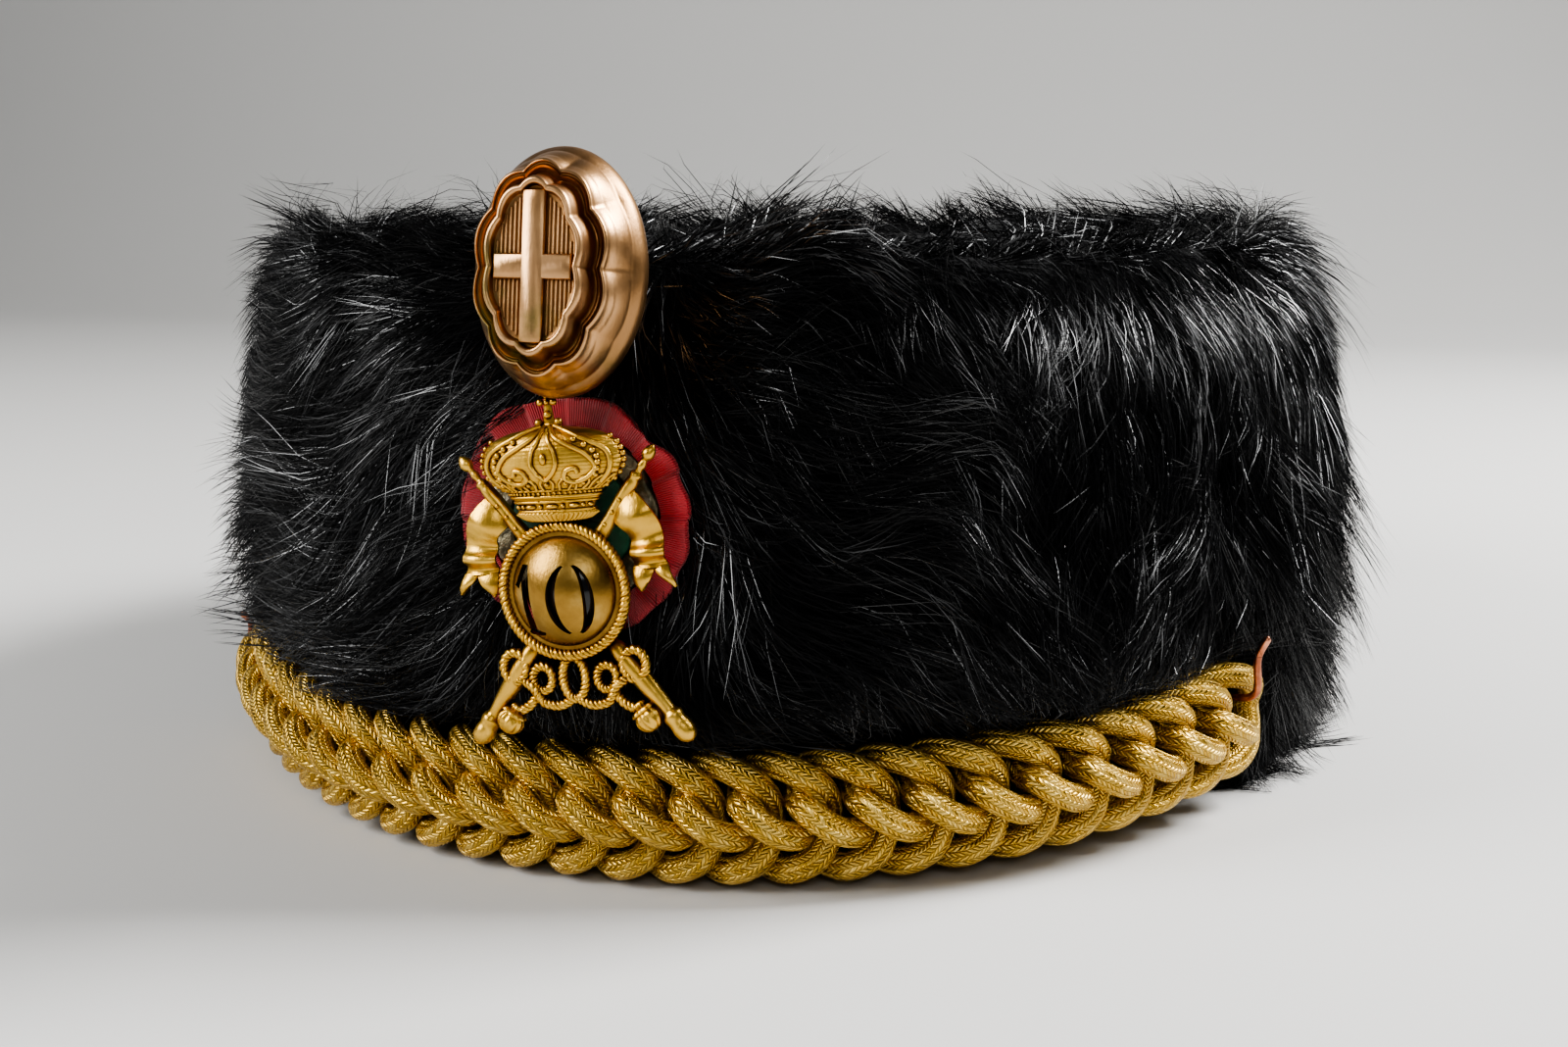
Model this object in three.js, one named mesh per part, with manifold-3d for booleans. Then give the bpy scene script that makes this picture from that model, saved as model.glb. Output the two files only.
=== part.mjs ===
import * as THREE from "three";
import { mergeVertices } from "three/addons/utils/BufferGeometryUtils.js";
import Module from "manifold-3d";

const wasm = await Module();
wasm.setup();

// A busby: an oval fur hat with a plaited gold cord round the front, a gilt badge on a silk
// cockade, and an oval boss above it. Millimetres, rim on z = 0, front towards -Y.

// Body
const bodyHalfWidth = 90; // outside, at the rim
const bodyHalfLength = 108;
const bodyWall = 3;
const bodyHeight = 100;
const bodyFlare = 7; // how far the wall leans out by the top
const crownThickness = 3;
const gap = 0.35; // between neighbouring hard pieces
const furGap = 0.7; // between the fur and what it surrounds
const ovalSides = 36;

// Fur
const furPile = 28; // depth of the fur at the rim, outside the body
const furFoot = 1; // how high its lower edge hangs above the rim
const furTop = 109;
const furRoll = 15; // how far it rolls in over the crown
const lockLength = 34;
const lockWidth = 28;
const lockThickness = 7;
const lockLift = 4; // how far a tip stands off
const locksRound = 17;
const lockRows = 4;

// Plaited cord
const cordThickness = 4.5;
const plaitSpacing = 4.6; // how far apart two touching cords lie
const cordSides = 5;
const stitchPitch = 9.6; // at the front
const stitchGrowth = 0.0005; // how much the stitches open towards the hooks
const stitchCount = 25;
const stitchRings = 11; // sections of cord in each stitch
const braidStandoff = 27.4; // cord's centre line outside the body
const braidFrontHeight = 12.6;
const braidEndHeight = 18.5;

// Hooks
const hookWire = 1.5;
const hookReach = 4.3; // past the braid's centre line

// Badge
const badgeHeight = 52; // of the disc's centre
const badgeStandoff = 32.3; // the disc's centre ahead of the body's rim
const badgeLean = -2.2; // degrees, top forward
const badgeRoll = 5.7; // degrees, top towards the viewer's left
const discRadius = 9.7;
const ropeThickness = 1.9;
const domeRise = 4.2;
const domeWall = 0.8;
const badgeDepth = 1.6; // of the flat ring and plates
const lanceSpread = 37; // degrees from upright
const lanceLength = 60.5;
const lanceTop = 28.5; // from the crossing to the tip
const shaftRadius = 0.85;
const crownWidth = 12.3; // half
const crownRise = 20.7; // from its foot to the tip of the cross
const crownDepth = 0.33; // of its half width
const shankRadius = 1.6;
const shankHeight = 10.8; // above the disc's centre, along the badge

// Cockade
const cockadeRadius = 20.2;
const silverRadius = 14.9;
const greenRadius = 10.5;
const silkThickness = 1.6;
const pleatDepth = 0.5;
const cockadeSetBack = 6; // behind the plane of the badge

// Boss
const bossHeight = 103.2; // of its widest edge
const bossStandoff = 31; // the widest edge's centre ahead of the body's rim
const bossLean = 8; // degrees, top back
const bossHalfWidth = 14.6;
const bossHalfHeight = 19.9;
const bossDepth = 12.2;
const bossBack = 9;
const bossLobes = 10;
const lobeDepth = 0.06;
const crossArm = 2.9;
const crossRise = 1.3;
const bossShankRadius = 2.4;
const bossShankDrop = 10.6; // below the widest edge's centre

const DEG = Math.PI / 180;
const pileTable = [
  // up: share of the way to the fur's top, out: share of the pile
  { up: 0.0, out: 0.76 },
  { up: 0.16, out: 0.8 },
  { up: 0.36, out: 0.85 },
  { up: 0.58, out: 0.92 },
  { up: 0.78, out: 1.0 },
  { up: 0.9, out: 0.94 },
  { up: 0.965, out: 0.76 },
  { up: 1.0, out: 0.42 },
];
const flowTable = [
  // turn: degrees round from the front, along: towards the viewer's right, up: towards the top
  { turn: -180, along: 0.0, up: -1.0 },
  { turn: -100, along: -0.55, up: -0.85 },
  { turn: -60, along: -0.9, up: -0.4 },
  { turn: -15, along: -0.85, up: -0.5 },
  { turn: 5, along: 0.2, up: -0.95 },
  { turn: 25, along: 0.8, up: -0.5 },
  { turn: 50, along: -0.4, up: -0.9 },
  { turn: 90, along: 0.25, up: -0.97 },
  { turn: 180, along: 0.0, up: -1.0 },
];
// One stitch of the chain plait. along: share of the pitch, up and out: plait spacings,
// stitch: how many stitches ahead.
const stitchTable = [
  { along: -0.01, up: 0.6, out: -0.14, stitch: 0 },
  { along: 0.06, up: 0.55, out: 0.6, stitch: 0 },
  { along: 0.3, up: 0.18, out: 0.9, stitch: 0 },
  { along: 0.62, up: -0.26, out: 0.9, stitch: 0 },
  { along: 0.92, up: -0.5, out: 0.56, stitch: 0 },
  { along: 0.02, up: -0.58, out: -0.16, stitch: 1 },
  { along: -0.97, up: -0.92, out: -1.0, stitch: 2 },
  { along: -0.78, up: -1.62, out: -1.18, stitch: 2 },
  { along: -0.48, up: -1.98, out: -0.66, stitch: 2 },
  { along: -0.14, up: -1.98, out: -0.06, stitch: 2 },
  { along: 0.28, up: -1.56, out: 0.04, stitch: 2 },
  { along: 0.5, up: -0.76, out: -0.18, stitch: 2 },
  { along: 0.52, up: 0.12, out: -0.32, stitch: 2 },
  { along: 0.4, up: 0.98, out: 0.0, stitch: 2 },
  { along: 0.06, up: 1.62, out: 0.16, stitch: 2 },
  { along: -0.36, up: 1.92, out: -0.3, stitch: 2 },
  { along: -0.71, up: 1.78, out: -0.98, stitch: 2 },
  { along: -0.95, up: 1.24, out: -1.24, stitch: 2 },
];
const firstLoop = 6; // the row at which the cord's first loop starts
// The eye round the left hook, from the cord's end to the first loop.
const eyeTable = [
  { along: -1.2, up: 0.95, out: -0.95 },
  { along: -1.55, up: 1.05, out: -0.75 },
  { along: -1.95, up: 0.75, out: -0.6 },
  { along: -2.2, up: 0.0, out: -0.55 },
  { along: -1.95, up: -0.75, out: -0.6 },
  { along: -1.5, up: -1.1, out: -0.75 },
];
const leftHook = { along: -1.5, up: 0.0, rise: 7 }; // from the first loop's place
const rightHook = { along: -0.1, up: 0.9, rise: 12.6 }; // from the last loop's place

// Helpers

// A three.js geometry as a solid, faces out.
function solid(geometry) {
  const bare = new THREE.BufferGeometry().setAttribute(
    "position",
    (geometry.index ? geometry.toNonIndexed() : geometry).getAttribute("position"),
  );
  const merged = mergeVertices(bare, 1e-4);
  const index = merged.index.array;
  const kept = [];
  for (let i = 0; i < index.length; i += 3) {
    const [a, b, c] = [index[i], index[i + 1], index[i + 2]];
    if (a !== b && b !== c && c !== a) kept.push(a, b, c);
  }
  const vertProperties = new Float32Array(merged.attributes.position.array);
  const build = (tris) =>
    new wasm.Manifold(
      new wasm.Mesh({ numProp: 3, vertProperties, triVerts: new Uint32Array(tris) }),
    );
  const made = build(kept);
  return made.volume() > 0 ? made : build(kept.reverse());
}

const union = (list) => wasm.Manifold.union(list);

// The one outer body of a solid, without enclosed voids or loose crumbs.
function outerBody(manifold) {
  const bodies = manifold.decompose();
  return bodies.reduce((best, next) => (next.volume() > best.volume() ? next : best));
}

function toGeometry(manifold) {
  const mesh = manifold.getMesh();
  const geometry = new THREE.BufferGeometry();
  geometry.setAttribute("position", new THREE.BufferAttribute(mesh.vertProperties, 3));
  geometry.setIndex(new THREE.BufferAttribute(mesh.triVerts, 1));
  return geometry;
}

function remap(geometry, place) {
  const position = geometry.getAttribute("position");
  const point = new THREE.Vector3();
  for (let i = 0; i < position.count; i++) {
    point.fromBufferAttribute(position, i);
    const moved = place(point);
    position.setXYZ(i, moved.x, moved.y, moved.z);
  }
  return geometry;
}

// The value of a table's column at x, eased between its rows.
function lookUp(table, key, column, x) {
  let i = table.findIndex((row) => row[key] > x);
  if (i < 0) i = table.length - 1;
  if (i < 1) i = 1;
  const [low, high] = [table[i - 1], table[i]];
  const t = THREE.MathUtils.clamp((x - low[key]) / (high[key] - low[key]), 0, 1);
  return THREE.MathUtils.lerp(low[column], high[column], t * t * (3 - 2 * t));
}

const flareAt = (height) => bodyFlare * THREE.MathUtils.clamp(height / bodyHeight, 0, 1);

// A point of the hat: turn round from the front (radians), distance outside the body's rim oval.
function onOval(turn, out, height) {
  const [s, c] = [Math.sin(turn), Math.cos(turn)];
  const normal = new THREE.Vector2(s / bodyHalfWidth, -c / bodyHalfLength).normalize();
  return new THREE.Vector3(
    bodyHalfWidth * s + normal.x * out,
    -bodyHalfLength * c + normal.y * out,
    height,
  );
}

// A ring round the hat from a closed profile of (out, height) points, which can change
// with the turn round from the front.
function ovalRing(profile, sides, change = (turn, out, height) => [out, height]) {
  const reach = bodyHalfLength * 10;
  const points = profile.map(([out, height]) => new THREE.Vector2(reach + out, height));
  points.push(points[0].clone());
  const ring = new THREE.LatheGeometry(points, sides, -Math.PI);
  return solid(
    remap(ring, (p) => {
      const turn = Math.atan2(p.x, p.z);
      return onOval(turn, ...change(turn, Math.hypot(p.x, p.z) - reach, p.y));
    }),
  );
}

// The hat's oval at a distance outside the body, as a curve between two turns.
class Oval extends THREE.Curve {
  constructor(from, to, out) {
    super();
    Object.assign(this, { from, to, out });
    this.arcLengthDivisions = 2000;
  }
  getPoint(t, target = new THREE.Vector3()) {
    return target.copy(onOval(THREE.MathUtils.lerp(this.from, this.to, t), this.out, 0));
  }
}

// A length of a longer curve, with that curve's own sections, so that lengths join exactly.
class Stretch extends THREE.Curve {
  constructor(points, frames) {
    super();
    Object.assign(this, { points, frames });
  }
  getSpacedPoints() {
    return this.points;
  }
  computeFrenetFrames() {
    return this.frames;
  }
}

function circle(radius, sides) {
  const shape = new THREE.Shape();
  for (let i = 0; i < sides; i++) {
    const a = (2 * Math.PI * (i + 0.5)) / sides;
    const [x, y] = [radius * Math.cos(a), radius * Math.sin(a)];
    if (i) shape.lineTo(x, y);
    else shape.moveTo(x, y);
  }
  shape.closePath();
  return shape;
}

const outline = (points) => new THREE.Shape(points.map(([x, y]) => new THREE.Vector2(x, y)));

function tube(points, radius, sides, steps, closed = false) {
  const path = new THREE.CatmullRomCurve3(points, closed, "centripetal");
  return solid(
    new THREE.ExtrudeGeometry(circle(radius, sides), { steps, extrudePath: path }),
  );
}

function plate(points, from, to) {
  const options = { depth: to - from, bevelEnabled: false };
  return solid(new THREE.ExtrudeGeometry(outline(points), options).translate(0, 0, from));
}

function rod(radius, length, sides) {
  return new THREE.CylinderGeometry(radius, radius, length, sides);
}

const bead = (radius, x, y, z) =>
  solid(new THREE.OctahedronGeometry(radius * 1.15, 0).translate(x, y, z));

function node(name, manifold, color, roughness, metalness) {
  const material = new THREE.MeshStandardMaterial({ color, roughness, metalness });
  const mesh = new THREE.Mesh(toGeometry(manifold), material);
  mesh.name = name;
  return mesh;
}

// Badge and boss frames: x to the viewer's right, y up the piece, z out of its face.

function pieceFrame(standoff, height, lean, roll) {
  const up = new THREE.Vector3(0, -Math.sin(lean * DEG), Math.cos(lean * DEG));
  const right = new THREE.Vector3(1, 0, 0);
  const face = new THREE.Vector3().crossVectors(right, up);
  for (const axis of [right, up]) axis.applyAxisAngle(face, roll * DEG);
  const front = -bodyHalfLength - standoff;
  return new THREE.Matrix4().makeBasis(right, up, face).setPosition(0, front, height);
}
const badgeFrame = pieceFrame(badgeStandoff, badgeHeight, badgeLean, badgeRoll);
const bossFrame = pieceFrame(bossStandoff, bossHeight, -bossLean, 0);
const placed = (manifold, matrix) => manifold.transform(matrix.toArray());

// A straight shank from a point of a piece back into the body's wall.
function shank(matrix, y, z, radius, clearance) {
  const start = new THREE.Vector3(0, y, z).applyMatrix4(matrix);
  const wallInside = bodyHalfLength + flareAt(start.z) - bodyWall;
  const end = clearance > 0 ? wallInside - 5 : wallInside + 0.4;
  const length = -start.y - end;
  return solid(
    rod(radius + clearance, length, 10).translate(start.x, start.y + length / 2, start.z),
  );
}
const badgeShank = (clearance) =>
  shank(badgeFrame, shankHeight, -badgeDepth / 2, shankRadius, clearance);
const bossShank = (clearance) =>
  shank(bossFrame, -bossShankDrop, 1 - bossBack, bossShankRadius, clearance);

// Where the level shank passes through the leaning cockade.
const cockadeCentre =
  shankHeight - (cockadeSetBack - badgeDepth / 2) * Math.tan(badgeLean * DEG);

// Braided cord

const guide = new Oval(-Math.PI / 2, Math.PI / 2, braidStandoff);
const guideLength = guide.getLength();
const lastLoop = stitchCount - 1;
const eyeEnd = Math.min(...eyeTable.map((row) => row.along));
const loopEnd = Math.max(...stitchTable.slice(firstLoop).map((row) => row.along));
const braidMiddle = (lastLoop + eyeEnd + loopEnd) / 2;
const braidHalf = lastLoop + loopEnd - braidMiddle; // half its length, in stitches
const braidReach = (stitches) => stitchPitch * (stitches + stitchGrowth * stitches ** 3);

function braidTurn(stitches) {
  const t = guide.getUtoTmapping(0, guideLength / 2 + braidReach(stitches));
  return THREE.MathUtils.lerp(guide.from, guide.to, t);
}
const braidEnd = braidTurn(braidHalf);
function braidHeight(turn) {
  const share = Math.min(1, Math.abs(turn) / braidEnd);
  return THREE.MathUtils.lerp(braidFrontHeight, braidEndHeight, share ** 2.2);
}

// A point of the braid: stitches from the front, plait spacings up and out.
function onBraid(stitches, up, out) {
  const turn = braidTurn(stitches);
  const height = braidHeight(turn) + up * plaitSpacing;
  return onOval(turn, braidStandoff + out * plaitSpacing, height);
}

function braidPoints() {
  const middle = braidMiddle;
  const points = eyeTable.map((row) => onBraid(row.along - middle, row.up, row.out));
  for (let k = -2; k <= lastLoop - 2; k++) {
    for (const [i, row] of stitchTable.entries()) {
      if (k === -2 && i < firstLoop) continue;
      points.push(onBraid(k + row.stitch + row.along - middle, row.up, row.out));
    }
  }
  for (const row of stitchTable.slice(0, firstLoop - 1)) {
    points.push(onBraid(lastLoop - 1 + row.along - middle, row.up, row.out));
  }
  return points;
}

function makeBraid() {
  const path = new THREE.CatmullRomCurve3(braidPoints(), false, "centripetal");
  path.arcLengthDivisions = 20000;
  const steps = stitchCount * stitchRings;
  const points = path.getSpacedPoints(steps);
  const frames = path.computeFrenetFrames(steps, false);
  const lengths = [];
  const most = 9; // short enough that no length of cord meets itself
  for (let i = 0; i < steps; i += most) {
    const to = Math.min(steps, i + most) + 1;
    const own = {
      tangents: frames.tangents.slice(i, to),
      normals: frames.normals.slice(i, to),
      binormals: frames.binormals.slice(i, to),
    };
    const extrudePath = new Stretch(points.slice(i, to), own);
    const shape = circle(cordThickness / 2, cordSides);
    lengths.push(solid(new THREE.ExtrudeGeometry(shape, { steps: to - i - 1, extrudePath })));
  }
  return outerBody(union(lengths).simplify(0.12));
}

// Hooks

function hook(side, clearance) {
  const place = side < 0 ? leftHook : rightHook;
  const turn = braidTurn(place.along + (side < 0 ? 0 : lastLoop) - braidMiddle);
  const height = braidHeight(turn) + place.up * plaitSpacing;
  const out = braidStandoff + hookReach;
  const start = flareAt(height) - bodyWall + (clearance > 0 ? -2 : gap);
  const at = (share, rise) =>
    onOval(turn, THREE.MathUtils.lerp(start, out, share), height + rise * place.rise);
  const points = [at(0, 0), at(0.5, 0), at(0.95, 0.02), at(1, 0.14), at(1, 0.66), at(1.06, 1)];
  return tube(points, hookWire / 2 + clearance, 6, 12);
}

// Body and crown

function makeBody() {
  const shell = ovalRing(
    [
      [0, 0],
      [bodyFlare, bodyHeight],
      [bodyFlare - bodyWall, bodyHeight],
      [-bodyWall, 0],
    ],
    ovalSides,
  );
  return shell.subtract(
    union([badgeShank(gap), bossShank(gap), hook(-1, gap), hook(1, gap)]),
  );
}

function makeCrownTop() {
  const rim = Array.from({ length: ovalSides }, (_, i) => {
    const p = onOval((2 * Math.PI * i) / ovalSides, bodyFlare, 0);
    return [p.x, p.y];
  });
  return plate(rim, bodyHeight + gap, bodyHeight + gap + crownThickness);
}

// Fur

// The fur's surface from its lower edge to the middle of the roll, as (out, height).
const furLine = new THREE.SplineCurve([
  ...pileTable.map((row) => new THREE.Vector2(
    row.out * furPile + bodyFlare * row.up * 0.5,
    THREE.MathUtils.lerp(furFoot, furTop, row.up),
  )),
  new THREE.Vector2(bodyFlare - furRoll * 0.45, furTop - 0.5),
  new THREE.Vector2(bodyFlare - furRoll, bodyHeight + crownThickness + 1.6),
]);
const furLineLength = furLine.getLength();

function onFur(turn, share, lift) {
  const s = THREE.MathUtils.clamp(share, 0, 1);
  const p = furLine.getPointAt(s);
  const tangent = furLine.getTangentAt(s);
  return onOval(turn, p.x + tangent.y * lift, p.y - tangent.x * lift + (share - s) * furLineLength);
}

function makeLock(row, column) {
  const shape = [
    [0, 0],
    [1, 0.3],
    [0.7, 0.72],
    [0, 1],
  ].map(([x, y]) => new THREE.Vector2(x, y));
  const wobble = Math.sin(12.9 * column + 7.3 * row);
  const turn = (2 * Math.PI * (column + 0.5 * (row % 2) + 0.18 * wobble)) / locksRound;
  const wrapped = ((turn / DEG + 180 + 720) % 360) - 180;
  const flow = new THREE.Vector2(
    lookUp(flowTable, "turn", "along", wrapped),
    lookUp(flowTable, "turn", "up", wrapped),
  ).normalize();
  const share = (row + 0.98 + 0.12 * wobble) / (lockRows + 0.15);
  const stretch = onOval(turn, furPile, 0).distanceTo(onOval(turn + 0.01, furPile, 0)) / 0.01;
  const size = lockLength * (1 + 0.12 * Math.sin(5.1 * column + 3.7 * row));
  return solid(
    remap(new THREE.LatheGeometry(shape, 4), (p) => {
      const [along, across] = [p.y * size, (p.x * lockWidth) / 2];
      return onFur(
        turn + (along * flow.x - across * flow.y) / stretch,
        share + (along * flow.y + across * flow.x) / furLineLength,
        p.z * lockThickness * 0.5 + lockLift * p.y * p.y,
      );
    }),
  );
}

// The room the braid takes up, with the fur pressed in behind it.
function braidPocket() {
  const deepest = Math.min(...stitchTable.map((row) => row.out));
  const highest = Math.max(...stitchTable.map((row) => row.up));
  const hull = braidStandoff + (deepest - 0.05) * plaitSpacing - cordThickness / 2 - furGap;
  const tall = (highest + 0.03) * plaitSpacing + cordThickness / 2 + furGap;
  const far = 3 * furPile;
  const profile = [
    [hull, -far],
    [far, -far],
    [far, tall],
    [hull, tall],
  ];
  const beyond = (turn) => Math.max(0, Math.abs(turn) / braidEnd - 1.04) * far * 3;
  return ovalRing(profile, 48, (turn, out, height) => [
    out < far ? Math.min(far - 1, out + beyond(turn)) : far,
    height + braidHeight(turn),
  ]);
}

function bossPocket() {
  const size = [bossHalfWidth + 1.2, bossHalfHeight + 1.2];
  const deep = 2 * furPile;
  const cone = new THREE.CylinderGeometry(1.3, 0.92, deep, 20).rotateX(Math.PI / 2);
  return placed(
    solid(cone.scale(size[0], size[1], 1).translate(0, 0, deep / 2 - bossBack - furGap)),
    bossFrame,
  );
}

function cockadePocket() {
  const disc = new THREE.CylinderGeometry(cockadeRadius + 1, cockadeRadius + 1, 40, 28);
  const back = -cockadeSetBack - silkThickness / 2 - pleatDepth - furGap;
  return placed(
    solid(disc.rotateX(Math.PI / 2).translate(0, cockadeCentre, 20 + back)),
    badgeFrame,
  );
}

function badgePocket() {
  const wide = lanceLength * Math.sin(lanceSpread * DEG) * 0.5 + 4;
  const low = (lanceLength - lanceTop) * Math.cos(lanceSpread * DEG) + 3;
  const back = -badgeDepth - shaftRadius - 1.5;
  const area = [
    [-wide - 1, -low],
    [wide + 1, -low],
    [wide + 1, -low * 0.4],
    [wide + 3, 4],
    [wide + 2, low],
    [-wide - 2, low],
    [-wide - 3, 4],
    [-wide - 1, -low * 0.4],
  ];
  return placed(plate(area, back, 40), badgeFrame);
}

function makeFur() {
  const rings = 6;
  const outer = Array.from({ length: rings + 1 }, (_, i) => {
    const p = furLine.getPointAt(i / rings);
    return [p.x, p.y];
  });
  const rest = bodyHeight + gap + crownThickness + furGap;
  const inner = [
    [bodyFlare - furRoll, rest],
    [bodyFlare + furGap, rest],
    [bodyFlare + furGap, bodyHeight],
    [furGap, furFoot],
  ];
  const sleeve = ovalRing([...outer, ...inner], ovalSides);
  const locks = [];
  for (let row = 0; row < lockRows; row++)
    for (let column = 0; column < locksRound; column++) locks.push(makeLock(row, column));
  const room = ovalRing(
    [
      [furGap, 0],
      [bodyFlare + furGap, bodyHeight],
      [bodyFlare + furGap, rest],
      [bodyFlare - furRoll - 12, rest],
      [-bodyHalfWidth / 3, rest],
      [-bodyHalfWidth / 3, 0],
    ],
    ovalSides,
  );
  const belowRim = solid(
    new THREE.BoxGeometry(4 * bodyHalfLength, 4 * bodyHalfLength, 20).translate(
      0, 0, furFoot - 10,
    ),
  );
  const furred = union([sleeve, ...locks])
    .subtract(
      union([
        room,
        belowRim,
        braidPocket(),
        bossPocket(),
        bossShank(furGap),
        badgeShank(furGap),
        cockadePocket(),
        badgePocket(),
        hook(-1, furGap),
        hook(1, furGap),
      ]),
    )
    .simplify(0.2);
  return outerBody(furred);
}

// Badge

function ringOf(radius, thickness, sides, around, wide = 1) {
  return new THREE.TorusGeometry(radius, thickness / 2, around, sides).scale(1, wide, 1);
}

// A round piece turned on the badge's z axis from (radius, z) points.
function turned(points, sides) {
  const profile = points.map(([r, z]) => new THREE.Vector2(r, z));
  return solid(new THREE.LatheGeometry(profile, sides).rotateX(Math.PI / 2));
}

function domeSurface(radius, base, rise, count) {
  return Array.from({ length: count + 1 }, (_, i) => {
    const r = radius * (1 - i / count);
    return [r, base + rise * (1 - (r / radius) ** 2) ** 0.8];
  });
}

function makeNumber() {
  const [high, low] = [0.5 * discRadius, -0.72 * discRadius];
  const one = [
    [-5.1, high],
    [-6.2, high],
    [-7.6, high - 3.4],
    [-6.9, high - 3.8],
    [-6.1, high - 2.4],
    [-5.9, low + 1],
    [-6.6, low + 0.4],
    [-6.2, low],
    [-3.4, low],
    [-3.2, low + 0.4],
    [-4.7, low + 1],
  ];
  const halfOf = (side) => {
    const rows = 4;
    const outer = [];
    const inner = [];
    for (let i = 0; i <= rows; i++) {
      const a = THREE.MathUtils.lerp(-74, 74, i / rows) * DEG;
      const y = (high + low) / 2 + ((high - low) / 2) * Math.sin(a);
      outer.push([2.3 + side * 3.9 * Math.cos(a), y]);
      inner.push([2.3 + side * 2.2 * Math.cos(a), y * 0.97 - 0.02]);
    }
    return [...outer, ...inner.reverse()];
  };
  return union([one, halfOf(1), halfOf(-1)].map((points) => plate(points, -1, 12)));
}

function makeDisc() {
  const edge = discRadius + ropeThickness;
  const back = -badgeDepth / 2;
  const outer = domeSurface(discRadius - 0.6, badgeDepth / 2, domeRise, 4);
  const inner = domeSurface(discRadius - 0.6 - domeWall, back, domeRise + badgeDepth - domeWall, 3);
  const dome = turned(
    [...inner.reverse(), [edge - 0.7, back], [edge - 0.7, badgeDepth / 2], ...outer],
    20,
  );
  const rope = solid(
    ringOf(edge - ropeThickness / 2, ropeThickness, 20, 5).translate(0, 0, badgeDepth / 2),
  );
  return union([dome.subtract(makeNumber()), rope]);
}

function makeNumberBacking() {
  const back = -badgeDepth / 2;
  const radius = discRadius - 0.6 - domeWall - 1.6 * gap;
  const rise = domeRise + badgeDepth - domeWall - 1.6 * gap;
  const under = back - 1;
  const points = domeSurface(radius, back, rise, 4);
  const whole = turned([[0, under], [radius, under], ...points], 20);
  return whole.trimByPlane([0, 0, 1], shaftRadius * 0.5 + back + gap);
}

const lanceProfile = [
  // at: share of the length from the tip, radius: shaft radii
  { at: 0.0, radius: 0 },
  { at: 0.012, radius: 0.9 },
  { at: 0.035, radius: 1.25 },
  { at: 0.05, radius: 0.6 },
  { at: 0.085, radius: 0.65 },
  { at: 0.1, radius: 1.25 },
  { at: 0.15, radius: 1.45 },
  { at: 0.31, radius: 1.5 },
  { at: 0.325, radius: 1.0 },
  { at: 0.655, radius: 1.0 },
  { at: 0.68, radius: 1.7 },
  { at: 0.76, radius: 2.1 },
  { at: 0.9, radius: 1.5 },
  { at: 0.92, radius: 2.1 },
  { at: 0.975, radius: 2.0 },
  { at: 1.0, radius: 0 },
];

function makeLance(side) {
  const profile = lanceProfile.map(
    (row) => new THREE.Vector2(row.radius * shaftRadius, lanceTop - row.at * lanceLength),
  );
  const back = -badgeDepth / 2 - shaftRadius * 0.5;
  const lance = solid(new THREE.LatheGeometry(profile, 6).translate(0, 0, back));
  const rivets = [0.175, 0.215, 0.255, 0.295].map((at) =>
    bead(0.45, 0, lanceTop - at * lanceLength, back + shaftRadius * 1.42),
  );
  const lean = new THREE.Matrix4().makeRotationZ(-side * lanceSpread * DEG);
  return placed(union([lance, ...rivets]), lean);
}

function makePennon(side) {
  const at = (points) => {
    const turnedRound = points.map(([x, y]) => [side * x, y]);
    return side > 0 ? turnedRound : turnedRound.reverse();
  };
  const hoist = [
    [12.6, 15.9],
    [15.8, 13.0],
    [17.3, 9.6],
    [17.4, 6.4],
    [11.8, 6.2],
    [11.6, 8.6],
    [10.2, 10.3],
    [9.0, 11.2],
  ];
  const fold = [
    [17.7, 6.9],
    [17.6, 4.6],
    [11.9, 4.3],
    [11.5, 6.7],
  ];
  const tails = [
    [17.4, 5.0],
    [18.1, 2.9],
    [19.0, -0.1],
    [17.4, 1.0],
    [15.8, 2.8],
    [14.7, 1.0],
    [12.9, -0.6],
    [12.0, 1.2],
    [12.1, 4.8],
  ];
  return union([
    plate(at(hoist), -1.2, 0.1),
    plate(at(fold), -1.0, 1.0),
    plate(at(tails), -1.4, -0.1),
  ]);
}

const crownProfile = [
  // up: share of the crown's rise, out: share of its half width
  { up: 0.0, out: 0.0 },
  { up: 0.0, out: 0.42 },
  { up: 0.06, out: 0.58 },
  { up: 0.09, out: 0.53 },
  { up: 0.15, out: 0.56 },
  { up: 0.17, out: 0.61 },
  { up: 0.25, out: 0.68 },
  { up: 0.33, out: 0.89 },
  { up: 0.45, out: 1.0 },
  { up: 0.57, out: 0.96 },
  { up: 0.65, out: 0.82 },
  { up: 0.705, out: 0.56 },
  { up: 0.73, out: 0.28 },
  { up: 0.76, out: 0.09 },
  { up: 0.96, out: 0.045 },
  { up: 0.965, out: 0.0 },
];
const crownFoot = () => discRadius + ropeThickness - 0.1;

function onCrown(up, turn, lift) {
  const out = lookUp(crownProfile, "up", "out", up) * crownWidth + lift;
  return new THREE.Vector3(
    out * Math.sin(turn * DEG),
    crownFoot() + up * crownRise,
    out * Math.cos(turn * DEG) * crownDepth + lift * 0.6,
  );
}

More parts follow.
